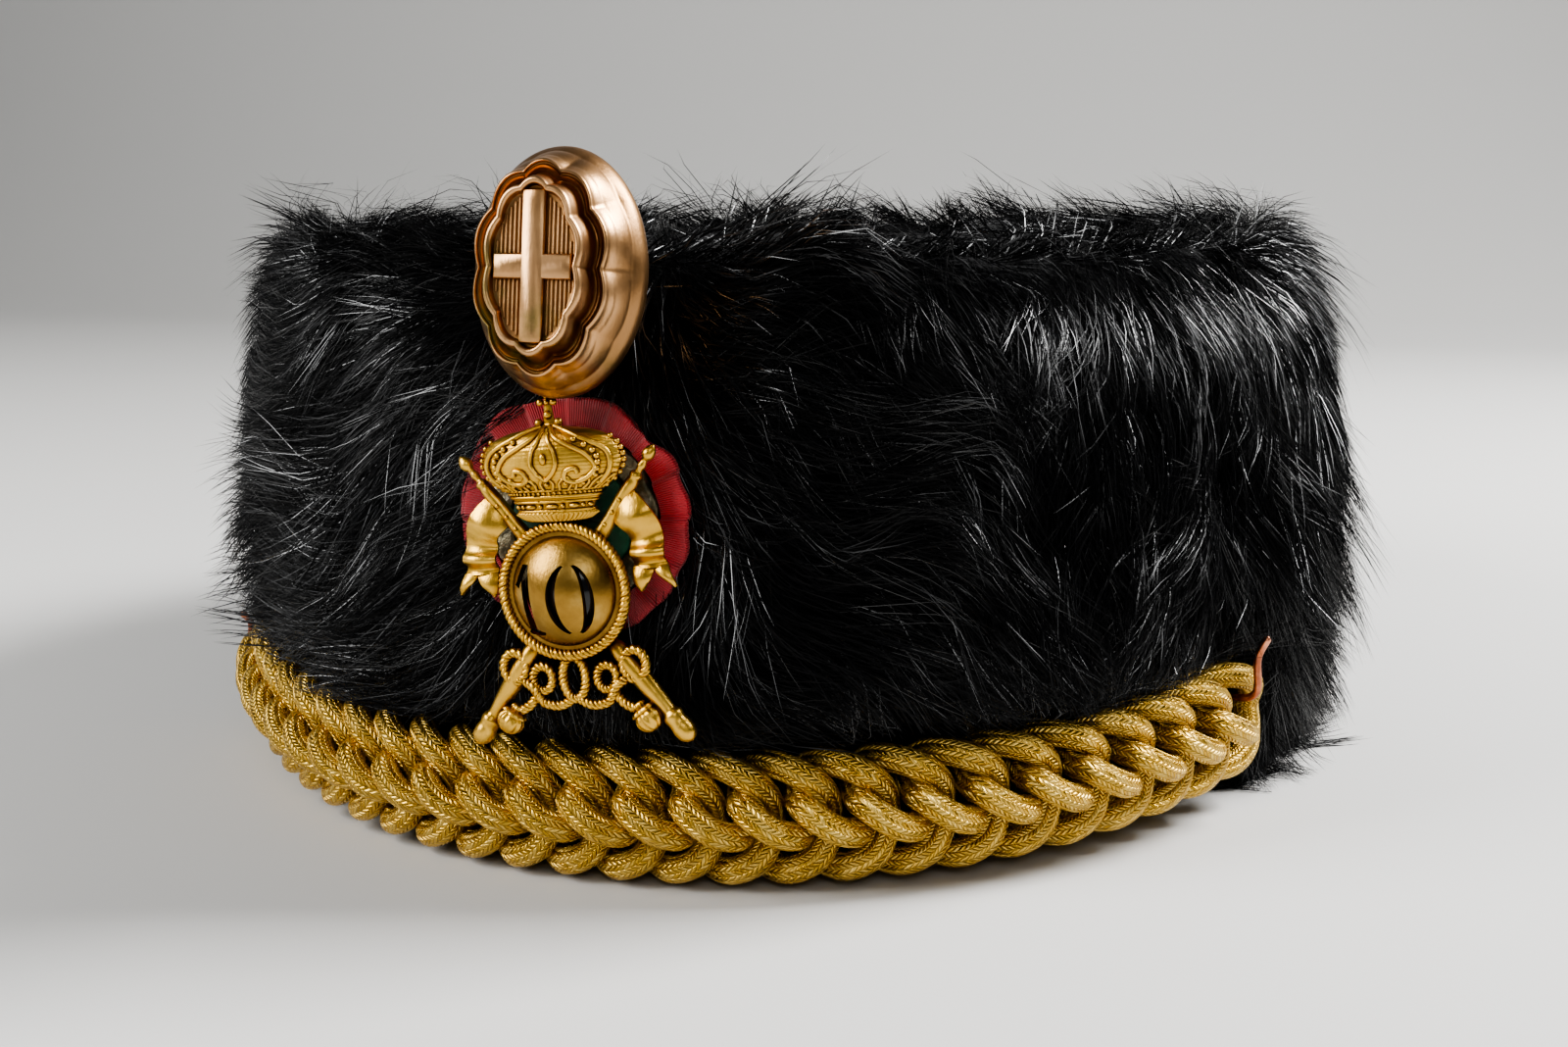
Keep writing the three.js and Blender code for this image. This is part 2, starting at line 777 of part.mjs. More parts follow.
function makeCrown() {
  const profile = crownProfile.map(
    (row) => new THREE.Vector2(row.out * crownWidth, crownFoot() + row.up * crownRise),
  );
  const round = new THREE.LatheGeometry(profile, 12).scale(1, 1, crownDepth);
  const parts = [solid(round)];
  for (const turn of [-58, 0, 58]) {
    const points = [0.24, 0.34, 0.45, 0.55, 0.65, 0.72].map((up) => onCrown(up, turn, 0.1));
    parts.push(tube(points, 0.55, 4, 4));
    for (const up of [0.34, 0.44, 0.54]) {
      if (turn) {
        const p = onCrown(up, turn * 0.8, 0.15);
        parts.push(bead(0.65, p.x, p.y, p.z));
      }
    }
  }
  for (const side of [-1, 1]) {
    const scroll = [
      [0.62, 12],
      [0.5, 34],
      [0.36, 36],
      [0.31, 20],
      [0.38, 13],
      [0.42, 22],
    ].map(([up, turn]) => onCrown(up, side * turn, 0.1));
    parts.push(tube(scroll, 0.45, 4, 6));
    for (const up of [0.29, 0.4, 0.51, 0.61]) {
      const p = onCrown(up, side * 86, 0.1);
      parts.push(bead(0.7, p.x, p.y, p.z));
    }
    parts.push(bead(0.75, side * 1.7, crownFoot() + 0.77 * crownRise, 0.3));
    parts.push(bead(0.7, side * 1.15, crownFoot() + 0.93 * crownRise, 0.3));
  }
  for (const turn of [-66, -44, -22, 0, 22, 44, 66]) {
    const p = onCrown(0.235, turn, 0.1);
    parts.push(bead(0.6, p.x, p.y, p.z));
  }
  for (const [i, turn] of [-52, -26, 0, 26, 52].entries()) {
    const p = onCrown(0.135, turn, 0);
    const jewel = new THREE.BoxGeometry(i % 2 ? 1.0 : 2.1, 1.0, 1.0).rotateY(turn * 0.4 * DEG);
    parts.push(solid(jewel.translate(p.x, p.y, p.z)));
  }
  parts.push(bead(0.8, 0, crownFoot() + 0.83 * crownRise, 0.3));
  parts.push(bead(0.75, 0, crownFoot() + 0.975 * crownRise, 0.3));
  return union(parts).trimByPlane([0, 0, 1], -badgeDepth / 2);
}

function makeKnots() {
  const parts = [];
  const cord = 1.35;
  const level = -0.2;
  const loop = (x, y, radius, tall, z = level) =>
    solid(ringOf(radius, cord, 9, 4, tall).translate(x, y, z));
  const foot = -discRadius - ropeThickness;
  parts.push(loop(0, foot - 2.9, 2.0, 1.75, 0));
  for (const side of [-1, 1]) {
    parts.push(loop(side * 5.7, foot - 3.0, 1.7, 1.2));
    parts.push(loop(side * 10.6, foot - 1.0, 2.0, 1.2, -0.3));
    const swag = [
      [side * 0.3, foot - 6.3],
      [side * 2.9, foot - 7.5],
      [side * 5.8, foot - 6.9],
      [side * 7.3, foot - 4.5],
      [side * 9.3, foot - 3.1],
    ].map(([x, y]) => new THREE.Vector3(x, y, level));
    parts.push(tube(swag, cord / 2, 4, 6));
    const drop = [
      [side * 6.7, foot - 5.2],
      [side * 8.2, foot - 7.2],
      [side * 10.6, foot - 8.6],
    ].map(([x, y]) => new THREE.Vector3(x, y, level));
    parts.push(tube(drop, cord / 2, 4, 3));
    const acorn = new THREE.SphereGeometry(2.2, 7, 4).scale(1, 1.15, 0.8);
    parts.push(solid(acorn.translate(side * 12, foot - 9.6, level)));
  }
  return parts;
}

function makeBadge() {
  const parts = [makeDisc(), makeCrown(), ...makeKnots()];
  for (const side of [-1, 1]) parts.push(makeLance(side), makePennon(side));
  return outerBody(union([placed(union(parts), badgeFrame), badgeShank(0)]).simplify(0.05));
}

// Cockade

const ringGap = gap + 0.15;
const hubRadius =
  shankRadius + 1.3 * gap + (silkThickness / 2 + pleatDepth) * Math.abs(Math.tan(badgeLean * DEG));

function silkRing(inner, outer, pleats, sides) {
  const half = silkThickness / 2;
  const ring = new THREE.LatheGeometry(
    [
      [inner, -half],
      [outer, -half],
      [outer, half],
      [inner, half],
      [inner, -half],
    ].map(([r, z]) => new THREE.Vector2(r, z)),
    sides,
  ).rotateX(Math.PI / 2);
  const wave = (p) => pleatDepth * Math.sign(Math.sin(pleats * Math.atan2(p.y, p.x) + 0.4));
  remap(ring, (p) => new THREE.Vector3(p.x, p.y, p.z + wave(p)));
  return placed(
    solid(ring.translate(0, cockadeCentre, -cockadeSetBack)),
    badgeFrame,
  );
}

// Boss

const bossProfile = [
  // out: share of the half width, at: share of the depth, lobed: share of the lobe's depth
  { out: 0.0, at: -0.74, lobed: 0 },
  { out: 0.5, at: -0.74, lobed: 0 },
  { out: 0.82, at: -0.36, lobed: 0 },
  { out: 1.0, at: 0.02, lobed: 0 },
  { out: 0.91, at: 0.28, lobed: 0.2 },
  { out: 0.83, at: 0.5, lobed: 0.6 },
  { out: 0.77, at: 0.66, lobed: 1 },
  { out: 0.75, at: 0.74, lobed: 1 },
  { out: 0.68, at: 0.74, lobed: 1 },
  { out: 0.63, at: 0.68, lobed: 1 },
  { out: 0.57, at: 0.86, lobed: 1 },
  { out: 0.55, at: 1.0, lobed: 1 },
  { out: 0.48, at: 1.0, lobed: 1 },
  { out: 0.45, at: 0.9, lobed: 0.8 },
  { out: 0.0, at: 0.9, lobed: 0 },
];

function makeBoss() {
  const stretch = bossHalfHeight - bossHalfWidth;
  const heightOf = bossProfile.map(
    (row) => new THREE.Vector2(row.out * bossHalfWidth, row.at * bossDepth),
  );
  const lobedAt = (p, radius) => {
    const row = bossProfile.find(
      (each) =>
        Math.abs(each.out * bossHalfWidth - radius) < 1e-3 &&
        Math.abs(each.at * bossDepth - p.z) < 1e-3,
    );
    return row ? row.lobed : 0;
  };
  const round = new THREE.LatheGeometry(heightOf, 4 * bossLobes).rotateX(Math.PI / 2);
  remap(round, (p) => {
    const radius = Math.hypot(p.x, p.y);
    const turn = Math.atan2(p.x, p.y);
    const scallop = Math.abs(Math.cos((bossLobes * turn) / 2));
    const out = radius * (1 + lobeDepth * lobedAt(p, radius) * (scallop * 1.6 - 1.1));
    const tall = out + stretch * Math.min(1, radius / (0.4 * bossHalfWidth));
    return new THREE.Vector3(out * Math.sin(turn), tall * Math.cos(turn), p.z);
  });
  const field = 0.9 * bossDepth;
  const [wide, high] = [0.45 * bossHalfWidth, 0.45 * bossHalfWidth + stretch];
  const cross = [
    new THREE.BoxGeometry(crossArm, 2 * high - 0.6, crossRise),
    new THREE.BoxGeometry(2 * wide - 0.3, crossArm, crossRise),
  ].map((box) => solid(box.translate(0, 0, field + crossRise * 0.2)));
  const reeds = [-0.74, -0.5, 0.5, 0.74].map((share) => {
    const tall = 2 * high * Math.sqrt(1 - share * share) - 1;
    return solid(new THREE.BoxGeometry(0.6, tall, 0.8).translate(share * wide, 0, field));
  });
  const face = union([solid(round), ...cross, ...reeds]);
  return outerBody(union([placed(face, bossFrame), bossShank(0)]).simplify(0.05));
}

// The hat

const group = new THREE.Group();
group.name = "busby_hat";
group.add(
  node("body_shell", makeBody(), 0x1a1613, 0.65, 0),
  node("crown_top", makeCrownTop(), 0x14110f, 0.5, 0),
  node("fur", makeFur(), 0x0b0b0d, 0.85, 0),
  node("braided_cord", makeBraid(), 0xc9a23c, 0.38, 0.85),
  node("hook_left", hook(-1, 0), 0x7a3f26, 0.35, 1),
  node("hook_right", hook(1, 0), 0x7a3f26, 0.35, 1),
  node("cockade_red", silkRing(silverRadius + ringGap, cockadeRadius, 16, 32), 0x9e1420, 0.5, 0),
  node("cockade_silver", silkRing(greenRadius + ringGap, silverRadius, 12, 24), 0x77705c, 0.45, 0.6),
  node("cockade_green", silkRing(hubRadius, greenRadius, 8, 16), 0x0d5a30, 0.5, 0),
  node("lance_badge", makeBadge(), 0xc7963a, 0.3, 1),
  node("number_backing", placed(makeNumberBacking(), badgeFrame), 0x0a090b, 0.12, 0),
  node("boss", makeBoss(), 0xc08a5a, 0.28, 1),
);

// The hat stands over the middle of its own outline.
group.updateMatrixWorld(true);
const bounds = new THREE.Box3().setFromObject(group, true);
const shift = new THREE.Vector3();
bounds.getCenter(shift);
group.children.forEach((mesh) => mesh.geometry.translate(-shift.x, -shift.y, -bounds.min.z));

export default group;
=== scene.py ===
# %% [markdown]
# # A busby with a plaited gold cord
# This lesson dresses the solid parts of an oval fur hat: long black fur, a gold cord plaited
# like a crochet chain, a gilt badge on a silk cockade, and an oval boss with a raised cross.
# The solids fix where everything sits. Each step below makes the fine form of one of them.

# %% Start from the solid parts
import math
import bmesh
import bpy
import numpy as np
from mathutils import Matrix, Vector


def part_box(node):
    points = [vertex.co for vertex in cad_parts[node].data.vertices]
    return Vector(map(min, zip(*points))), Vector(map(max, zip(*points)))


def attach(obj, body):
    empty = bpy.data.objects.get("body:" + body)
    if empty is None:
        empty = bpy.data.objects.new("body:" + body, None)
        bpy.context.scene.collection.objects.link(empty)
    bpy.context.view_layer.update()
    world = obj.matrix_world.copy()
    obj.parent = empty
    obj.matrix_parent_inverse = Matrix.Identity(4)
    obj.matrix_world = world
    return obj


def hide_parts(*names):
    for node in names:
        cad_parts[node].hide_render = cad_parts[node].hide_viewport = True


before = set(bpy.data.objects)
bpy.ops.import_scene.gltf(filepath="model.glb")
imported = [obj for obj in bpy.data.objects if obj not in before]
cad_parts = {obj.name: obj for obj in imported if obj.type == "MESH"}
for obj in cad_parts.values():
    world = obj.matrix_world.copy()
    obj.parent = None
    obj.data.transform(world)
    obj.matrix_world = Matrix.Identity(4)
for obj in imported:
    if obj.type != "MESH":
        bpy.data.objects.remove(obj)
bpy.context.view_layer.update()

shell_low, shell_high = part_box("body_shell")
HAT_AXIS = np.array([(shell_low.x + shell_high.x) / 2, (shell_low.y + shell_high.y) / 2, 0])
print("the hat's upright axis is at", HAT_AXIS)

# %% [markdown]
# ## Sizes
# The fine pieces follow the same sizes as the solids, in millimetres from the hat's axis.
# Every later step takes its sizes from here, so that a piece can't drift off its solid.

# %% Sizes in millimetres
BODY_HALF_WIDTH, BODY_HALF_LENGTH = 90, 108
BODY_WALL, BODY_HEIGHT, BODY_FLARE = 3, 100, 7
CROWN_THICKNESS, GAP = 3, 0.35
FUR_PILE, FUR_FOOT, FUR_TOP, FUR_ROLL = 28, 1, 109, 15
CORD_THICKNESS, PLAIT_SPACING = 4.9, 4.6
STITCH_PITCH, STITCH_GROWTH, STITCH_COUNT = 9.6, 0.0005, 25
BRAID_STANDOFF, BRAID_FRONT_HEIGHT, BRAID_END_HEIGHT = 27.4, 12.6, 18.5
HOOK_WIRE, HOOK_REACH = 1.5, 4.3
BADGE_HEIGHT, BADGE_STANDOFF, BADGE_LEAN, BADGE_ROLL = 52, 32.3, -2.2, 5.7
DISC_RADIUS, ROPE_THICKNESS, DOME_RISE, DOME_WALL, BADGE_DEPTH = 9.7, 1.9, 4.2, 0.8, 1.6
LANCE_SPREAD, LANCE_LENGTH, LANCE_TOP, SHAFT_RADIUS = 37, 60.5, 28.5, 0.85
CROWN_WIDTH, CROWN_RISE, CROWN_DEPTH = 12.3, 20.7, 0.33
COCKADE_RADIUS, SILVER_RADIUS, GREEN_RADIUS = 20.2, 14.9, 10.5
SILK_THICKNESS, PLEAT_DEPTH, COCKADE_SET_BACK = 1.6, 0.5, 6
SHANK_HEIGHT, SHANK_RADIUS = 10.8, 1.6
BOSS_HEIGHT, BOSS_STANDOFF, BOSS_LEAN = 103.2, 31, 8
BOSS_HALF_WIDTH, BOSS_HALF_HEIGHT, BOSS_DEPTH, BOSS_BACK = 14.6, 19.9, 12.2, 9
BOSS_LOBES, LOBE_DEPTH, CROSS_ARM, CROSS_RISE = 10, 0.06, 2.9, 1.3
ON_AXIS = 1e-3  # the radius that stands for none, so that no edge has length zero
print("full look")

# %% [markdown]
# ## Points round the hat
# The hat isn't round but oval. A point on it is given by a turn from the front, a distance
# outside the rim, and a height, so cord and fur can be laid out flat and then wrapped on.

# %% Oval and curves
def on_oval(turn, out, height):
    turn, out, height = np.broadcast_arrays(np.asarray(turn, float), out, height)
    side, front = np.sin(turn), np.cos(turn)
    nx, ny = side / BODY_HALF_WIDTH, -front / BODY_HALF_LENGTH
    length = np.hypot(nx, ny)
    x = BODY_HALF_WIDTH * side + nx / length * out
    y = -BODY_HALF_LENGTH * front + ny / length * out
    return np.stack([x, y, height], -1)


def piece_frame(standoff, height, lean, roll):
    """Rows: right, up and face of a piece on the hat's front, then its origin."""
    a, b = math.radians(lean), math.radians(roll)
    right, up = np.array([1, 0, 0]), np.array([0, -math.sin(a), math.cos(a)])
    return np.array([
        right * math.cos(b) + up * math.sin(b),
        up * math.cos(b) - right * math.sin(b),
        [0, -math.cos(a), -math.sin(a)],
        [0, -BODY_HALF_LENGTH - standoff, height],
    ])


BADGE = piece_frame(BADGE_STANDOFF, BADGE_HEIGHT, BADGE_LEAN, BADGE_ROLL)
BOSS = piece_frame(BOSS_STANDOFF, BOSS_HEIGHT, -BOSS_LEAN, 0)


def placed(points, at):
    return np.asarray(points, float) @ at[:3] + at[3]


def seen_from(points, at):
    return (points - at[3]) @ at[:3].T


def smooth_step(low, high, value):
    t = np.clip((value - low) / (high - low), 0, 1)
    return t * t * (3 - 2 * t)


def table_at(rows, x):
    """The columns after the first, eased between a table's rows."""
    rows = np.asarray(rows, float)
    i = np.clip(np.searchsorted(rows[:, 0], x, side="right"), 1, len(rows) - 1)
    low, high = rows[i - 1], rows[i]
    t = np.clip((x - low[..., 0]) / (high[..., 0] - low[..., 0]), 0, 1)
    t = (t * t * (3 - 2 * t))[..., None]
    return low[..., 1:] * (1 - t) + high[..., 1:] * t


def gone_along(points):
    """How far along a line each of its points lies."""
    return np.concatenate([[0], np.cumsum(np.linalg.norm(np.diff(points, axis=0), axis=1))])


def evenly(points, step):
    """The same line with its points a set step apart, and the distance along it."""
    gone = gone_along(points)
    count = max(3, int(round(gone[-1] / step)) + 1)
    at = np.linspace(0, gone[-1], count)
    return np.stack([np.interp(at, gone, points[:, k]) for k in range(points.shape[1])], 1), at


def curve_through(points, step, closed=False):
    """A rounded line through points, as a cord lies."""
    p = np.asarray(points, float)
    if closed:
        p = np.concatenate([p[-1:], p, p[:2]])
    else:
        p = np.concatenate([2 * p[:1] - p[1:2], p, 2 * p[-1:] - p[-2:-1]])
    line = []
    for a, b, c, d in zip(p[:-3], p[1:-2], p[2:-1], p[3:]):
        ta, tb, tc = [max(1e-4, np.linalg.norm(q) ** 0.5) for q in (b - a, c - b, d - c)]
        start = ((b - a) / ta - (c - a) / (ta + tb) + (c - b) / tb) * tb
        end = ((c - b) / tb - (d - b) / (tb + tc) + (d - c) / tc) * tb
        t = np.linspace(0, 1, 24, endpoint=False)[:, None]
        line.append(
            b + start * t + (3 * (c - b) - 2 * start - end) * t**2
            + (2 * (b - c) + start + end) * t**3
        )
    line.append(p[-2][None])
    return evenly(np.concatenate(line), step)


# %% [markdown]
# ## Building a mesh from grids
# Nearly every piece here is a sheet of points bent into shape: a turned form, a cord, a
# leaf. `Shape` gathers such grids as arrays and makes one mesh of them, which is far
# quicker than modelling operators, and keeps a flat place (U round, V along) per corner.

# %% Shape
class Shape:
    def __init__(self):
        self.points, self.triangles, self.corners, self.count = [], [], [], 0

    def grid(self, points, around=False, v=None, lids=False):
        """Adds rows of points. around closes each row, lids close the first and last."""
        rows, cols = points.shape[:2]
        span = cols if around else cols - 1
        u = np.linspace(0, 1, span + 1)
        v = np.linspace(0, 1, rows) if v is None else v
        a, b = np.meshgrid(np.arange(rows - 1), np.arange(span), indexing="ij")
        a, b = a.ravel(), b.ravel()
        c = (b + 1) % cols
        index = np.arange(rows * cols).reshape(rows, cols) + self.count
        quad = [index[a, b], index[a, c], index[a + 1, c], index[a + 1, b]]
        flat = [np.stack([u[b], v[a]], 1), np.stack([u[b + 1], v[a]], 1),
                np.stack([u[b + 1], v[a + 1]], 1), np.stack([u[b], v[a + 1]], 1)]
        for way in ((0, 1, 2), (0, 2, 3)):
            self.triangles.append(np.stack([quad[k] for k in way], 1))
            self.corners.append(np.stack([flat[k] for k in way], 1))
        self.points.append(points.reshape(-1, 3))
        self.count += rows * cols
        if lids:
            for row in (0, rows - 1):
                ring = index[row]
                self.points.append(points[row].mean(0)[None])
                nxt = np.roll(ring, -1)
                self.triangles.append(np.stack([ring, nxt, np.full(cols, self.count)], 1))
                self.corners.append(np.full((cols, 3, 2), v[row]))
                self.count += 1
        return self

    def place(self, at):
        self.points = [placed(p, at) for p in self.points]
        return self

    def join(self, part):
        """Adds another shape's grids to this one."""
        self.triangles += [t + self.count for t in part.triangles]
        self.points += part.points
        self.corners += part.corners
        self.count += part.count

    def make(self, name, material, crease, weld=True):
        """One object of all the grids. crease: degrees from which an edge stays sharp."""
        points = np.concatenate(self.points) * 0.001 + HAT_AXIS
        triangles = np.concatenate(self.triangles)
        mesh = bpy.data.meshes.new(name)
        mesh.vertices.add(len(points))
        mesh.vertices.foreach_set("co", points.astype(np.float32).ravel())
        mesh.loops.add(triangles.size)
        mesh.loops.foreach_set("vertex_index", triangles.astype(np.int32).ravel())
        mesh.polygons.add(len(triangles))
        mesh.polygons.foreach_set("loop_start", np.arange(0, triangles.size, 3, dtype=np.int32))
        mesh.update(calc_edges=True)
        flat = mesh.uv_layers.new(name="Flat")
        flat.data.foreach_set("uv", np.concatenate(self.corners).astype(np.float32).ravel())
        if weld:
            work = bmesh.new()
            work.from_mesh(mesh)
            bmesh.ops.remove_doubles(work, verts=work.verts, dist=2e-6)
            bmesh.ops.recalc_face_normals(work, faces=work.faces)
            work.to_mesh(mesh)
            work.free()
        mesh.shade_smooth()
        if crease:
            mesh.set_sharp_from_angle(angle=math.radians(crease))
        mesh.materials.append(material)
        piece = bpy.data.objects.new(name, mesh)
        bpy.context.scene.collection.objects.link(piece)
        print(name, len(mesh.polygons), "triangles")
        return piece


# %% [markdown]
# A cord is a small outline carried along a line. The outline is turned as little as
# possible from one step to the next, so it never twists by accident; a laid rope then gets
# its twist on purpose, from an outline with lobes that goes round as it moves along.

# %% Cords, turned forms and balls
def carried_frames(line, closed=False):
    ahead = np.gradient(line, axis=0)
    if closed:
        ahead[0] = ahead[-1] = line[1] - line[-2]
    ahead /= np.linalg.norm(ahead, axis=1)[:, None]
    side = np.empty_like(line)
    first = np.cross(ahead[0], [0.31, 0.2, 0.93])
    side[0] = first / np.linalg.norm(first)
    for i in range(1, len(line)):
        s = side[i - 1] - ahead[i] * (side[i - 1] @ ahead[i])
        side[i] = s / np.linalg.norm(s)
    if closed:
        other = np.cross(ahead[0], side[0])
        miss = math.atan2(side[-1] @ other, side[-1] @ side[0])
        turn = -miss * np.linspace(0, 1, len(line))[:, None]
        side = side * np.cos(turn) + np.cross(ahead, side) * np.sin(turn)
    return side, np.cross(ahead, side)


def cord(shape, points, radius, sides=12, step=0.4, closed=False, lobes=0, lay=2.7, dip=0.2,
         rounded=False):
    """A cord through points. radius is in mm."""
    line, gone = curve_through(points, step, closed)
    side, other = carried_frames(line, closed)
    share = gone / gone[-1]
    r = np.full(len(line), float(radius))
    if rounded:
        near = np.minimum(gone, gone[-1] - gone) / r
        r = r * np.sqrt(np.clip(1 - (1 - np.clip(near, 0, 1)) ** 2, 0.02, 1))
    angle = np.linspace(0, 2 * math.pi, sides, endpoint=False)[None]
    reach = r[:, None] * np.ones_like(angle)
    if lobes:
        turns = np.round(gone[-1] / lay) if closed else gone[-1] / lay
        wound = angle - 2 * math.pi * turns * share[:, None]
        reach = reach * (1 - dip + dip * np.abs(np.cos(wound * lobes / 2)) ** 0.7)
    ring = (line[:, None] + side[:, None] * (np.cos(angle) * reach)[..., None]
            + other[:, None] * (np.sin(angle) * reach)[..., None])
    return shape.grid(ring, around=True, v=gone, lids=not closed)


def lathe(shape, profile, sides, squash=1.0, axis="z", change=None):
    """A turned form from (radius, height) rows, round z or y, flattened by squash.
    sides is how many there are round it, or the angles themselves."""
    profile = np.asarray(profile, float)
    angle = np.linspace(0, 2 * math.pi, sides, endpoint=False) if np.isscalar(sides) else sides
    r, h = profile[:, :1], profile[:, 1:2] + 0 * angle
    x, y = r * np.sin(angle), r * np.cos(angle) * squash
    points = np.stack([x, y, h] if axis == "z" else [x, h, y], -1)
    if change:
        points = change(points, angle[None], r)
    gone = np.concatenate([[0], np.cumsum(np.hypot(*np.diff(profile, axis=0).T[:2]))])
    return shape.grid(points, around=True, v=gone)


def ball(shape, centre, radius, squash=(1, 1, 1), rows=8, sides=12):
    a = np.linspace(0, math.pi, rows + 1)
    b = np.linspace(0, 2 * math.pi, sides, endpoint=False)
    flat = np.sin(a)[:, None]
    points = np.stack([flat * np.cos(b), flat * np.sin(b), np.cos(a)[:, None] + 0 * b], -1)
    return shape.grid(points * radius * np.array(squash) + np.array(centre), around=True)


def finer(rows, step):
    """A profile with points a set step apart along its rounded line, none on the axis."""
    rows = curve_through(rows, step)[0]
    rows[:, 0] = np.maximum(rows[:, 0], ON_AXIS)
    return rows


# %% [markdown]
# ## Node helpers
# Materials are wired from small building blocks. These helpers add a node, a sum, a ramp
# or a blend of colours, which keeps every material short enough to read.

# %% Node helpers
def feed(socket, value):
    """Gives a socket another node's output, or a plain value."""
    if isinstance(value, bpy.types.NodeSocket):
        socket.id_data.links.new(value, socket)
    else:
        socket.default_value = value


def add(tree, kind, **inputs):
    made = tree.nodes.new("ShaderNode" + kind)
    for name, value in inputs.items():
        feed(made.inputs[name.replace("_", " ")], value)
    return made


def calc(tree, operation, *values, clamp=False):
    made = tree.nodes.new("ShaderNodeMath")
    made.operation, made.use_clamp = operation, clamp
    for socket, value in zip(made.inputs, values):
        feed(socket, value)
    return made.outputs[0]


def colours(tree, factor, stops):
    made = tree.nodes.new("ShaderNodeValToRGB")
    tree.links.new(factor, made.inputs[0])
    ramp = made.color_ramp.elements
    while len(ramp) < len(stops):
        ramp.new(0.5)
    for element, (at, colour) in zip(ramp, stops):
        element.position, element.color = at, (*colour, 1)
    return made.outputs["Color"]


def blend(tree, factor, first, second):
    """A mix of two colours. 0, 6 and 7 are the mix node's factor and its two colours."""
    made = tree.nodes.new("ShaderNodeMix")
    made.data_type = "RGBA"
    for at, value in ((0, factor), (6, first), (7, second)):
        feed(made.inputs[at], (*value, 1) if isinstance(value, tuple) else value)
    return made.outputs[2]


def group_of(name, inputs, outputs):
    tree = bpy.data.node_groups.new(name, "ShaderNodeTree")
    for label, kind, value in inputs:
        socket = tree.interface.new_socket(label, in_out="INPUT", socket_type=kind)
        if value is not None:
            socket.default_value = value
    for label in outputs:
        tree.interface.new_socket(label, in_out="OUTPUT", socket_type="NodeSocketFloat")
    taken, given = tree.nodes.new("NodeGroupInput"), tree.nodes.new("NodeGroupOutput")
    return tree, taken.outputs, given.inputs


def use(tree, group, **inputs):
    made = tree.nodes.new("ShaderNodeGroup")
    made.node_tree = group
    for name, value in inputs.items():
        feed(made.inputs[name], value)
    return made.outputs


def on_flat(tree):
    """The mesh's own flat place: U round it, V along it."""
    made = add(tree, "UVMap")
    made.uv_map = "Flat"
    return made.outputs[0]


def on_object(tree):
    return add(tree, "TexCoord").outputs["Object"]


def new_material(name, colour, roughness, metallic=0.0):
    material = bpy.data.materials.new(name)
    material.use_nodes = True
    shader = material.node_tree.nodes["Principled BSDF"]
    shader.inputs["Base Color"].default_value = (*colour, 1)
    shader.inputs["Roughness"].default_value = roughness
    shader.inputs["Metallic"].default_value = metallic
    return material, material.node_tree, shader


def raise_by(tree, shader, height, distance):
    """A bump of height, in metres at its full value."""
    bump = add(tree, "Bump", Height=height, Distance=distance, Strength=1.0)
    feed(shader.inputs["Normal"], bump.outputs[0])


# %% [markdown]
# ## Shared effects
# Old gilt brass is never one colour: it is blotched where hands wore it, finely pitted and
# streaked. All the metal pieces share these masks, each with its own strength, so they are
# made once as a node group that puts out plain masks. Leather and silk use them too.

# %% Old metal: blotches, pits and streaks
old_metal, taken, given = group_of(
    "Old metal",
    [("Place", "NodeSocketVector", None), ("Size", "NodeSocketFloat", 1.0)],
    ["Blotches", "Pits", "Streaks"],
)
sized = add(old_metal, "VectorMath", Vector=taken["Place"])
sized.operation = "SCALE"
feed(sized.inputs["Scale"], taken["Size"])
place = sized.outputs[0]
blot = add(old_metal, "TexNoise", Vector=place, Scale=130.0, Detail=5.0, Roughness=0.62)
pits = add(old_metal, "TexNoise", Vector=place, Scale=1500.0, Detail=3.0, Roughness=0.6)
streak = add(old_metal, "Mapping", Vector=place, Scale=(2600.0, 2600.0, 180.0))
streak = add(old_metal, "TexNoise", Vector=streak.outputs[0], Scale=1.0, Detail=2.0)
for name, made in (("Blotches", blot), ("Pits", pits), ("Streaks", streak)):
    feed(given[name], made.outputs[0])
print("node group", old_metal.name)


def worn(tree, size=1.0):
    """The masks of the old metal group, on this material's piece."""
    return use(tree, old_metal, Place=on_object(tree), Size=size)


# %% [markdown]
# Gold cord is a cotton core inside a braided sleeve of flat metal thread. The sleeve is
# herringbone: short slanting floats in columns along the cord, each column slanting the
# other way. The cord mesh carries U round it and V along it in millimetres, so the pattern
# can be worked out from those two numbers at any size.

# %% Braided sleeve of metal thread
sleeve, taken, given = group_of(
    "Braided sleeve",
    [("Flat", "NodeSocketVector", None), ("Columns", "NodeSocketFloat", 16.0),
     ("Pitch", "NodeSocketFloat", 0.72), ("Slant", "NodeSocketFloat", 1.2)],
    ["Height", "Gap", "Random"],
)
flat = add(sleeve, "SeparateXYZ", Vector=taken["Flat"]).outputs
column_at = calc(sleeve, "MULTIPLY", flat["X"], taken["Columns"])
column = calc(sleeve, "FLOOR", column_at)
across = calc(sleeve, "SUBTRACT", column_at, column)
odd = calc(sleeve, "FLOORED_MODULO", column, 2.0)
turned_round = calc(sleeve, "SUBTRACT", 1.0, calc(sleeve, "MULTIPLY", across, 2.0))
slant = calc(sleeve, "ADD", across, calc(sleeve, "MULTIPLY", odd, turned_round))
row_at = calc(sleeve, "ADD", calc(sleeve, "DIVIDE", flat["Y"], taken["Pitch"]),
              calc(sleeve, "ADD", calc(sleeve, "MULTIPLY", slant, taken["Slant"]),
                   calc(sleeve, "MULTIPLY", odd, 0.5)))
row = calc(sleeve, "FLOOR", row_at)
along_float = calc(sleeve, "SUBTRACT", row_at, row)
edges = []
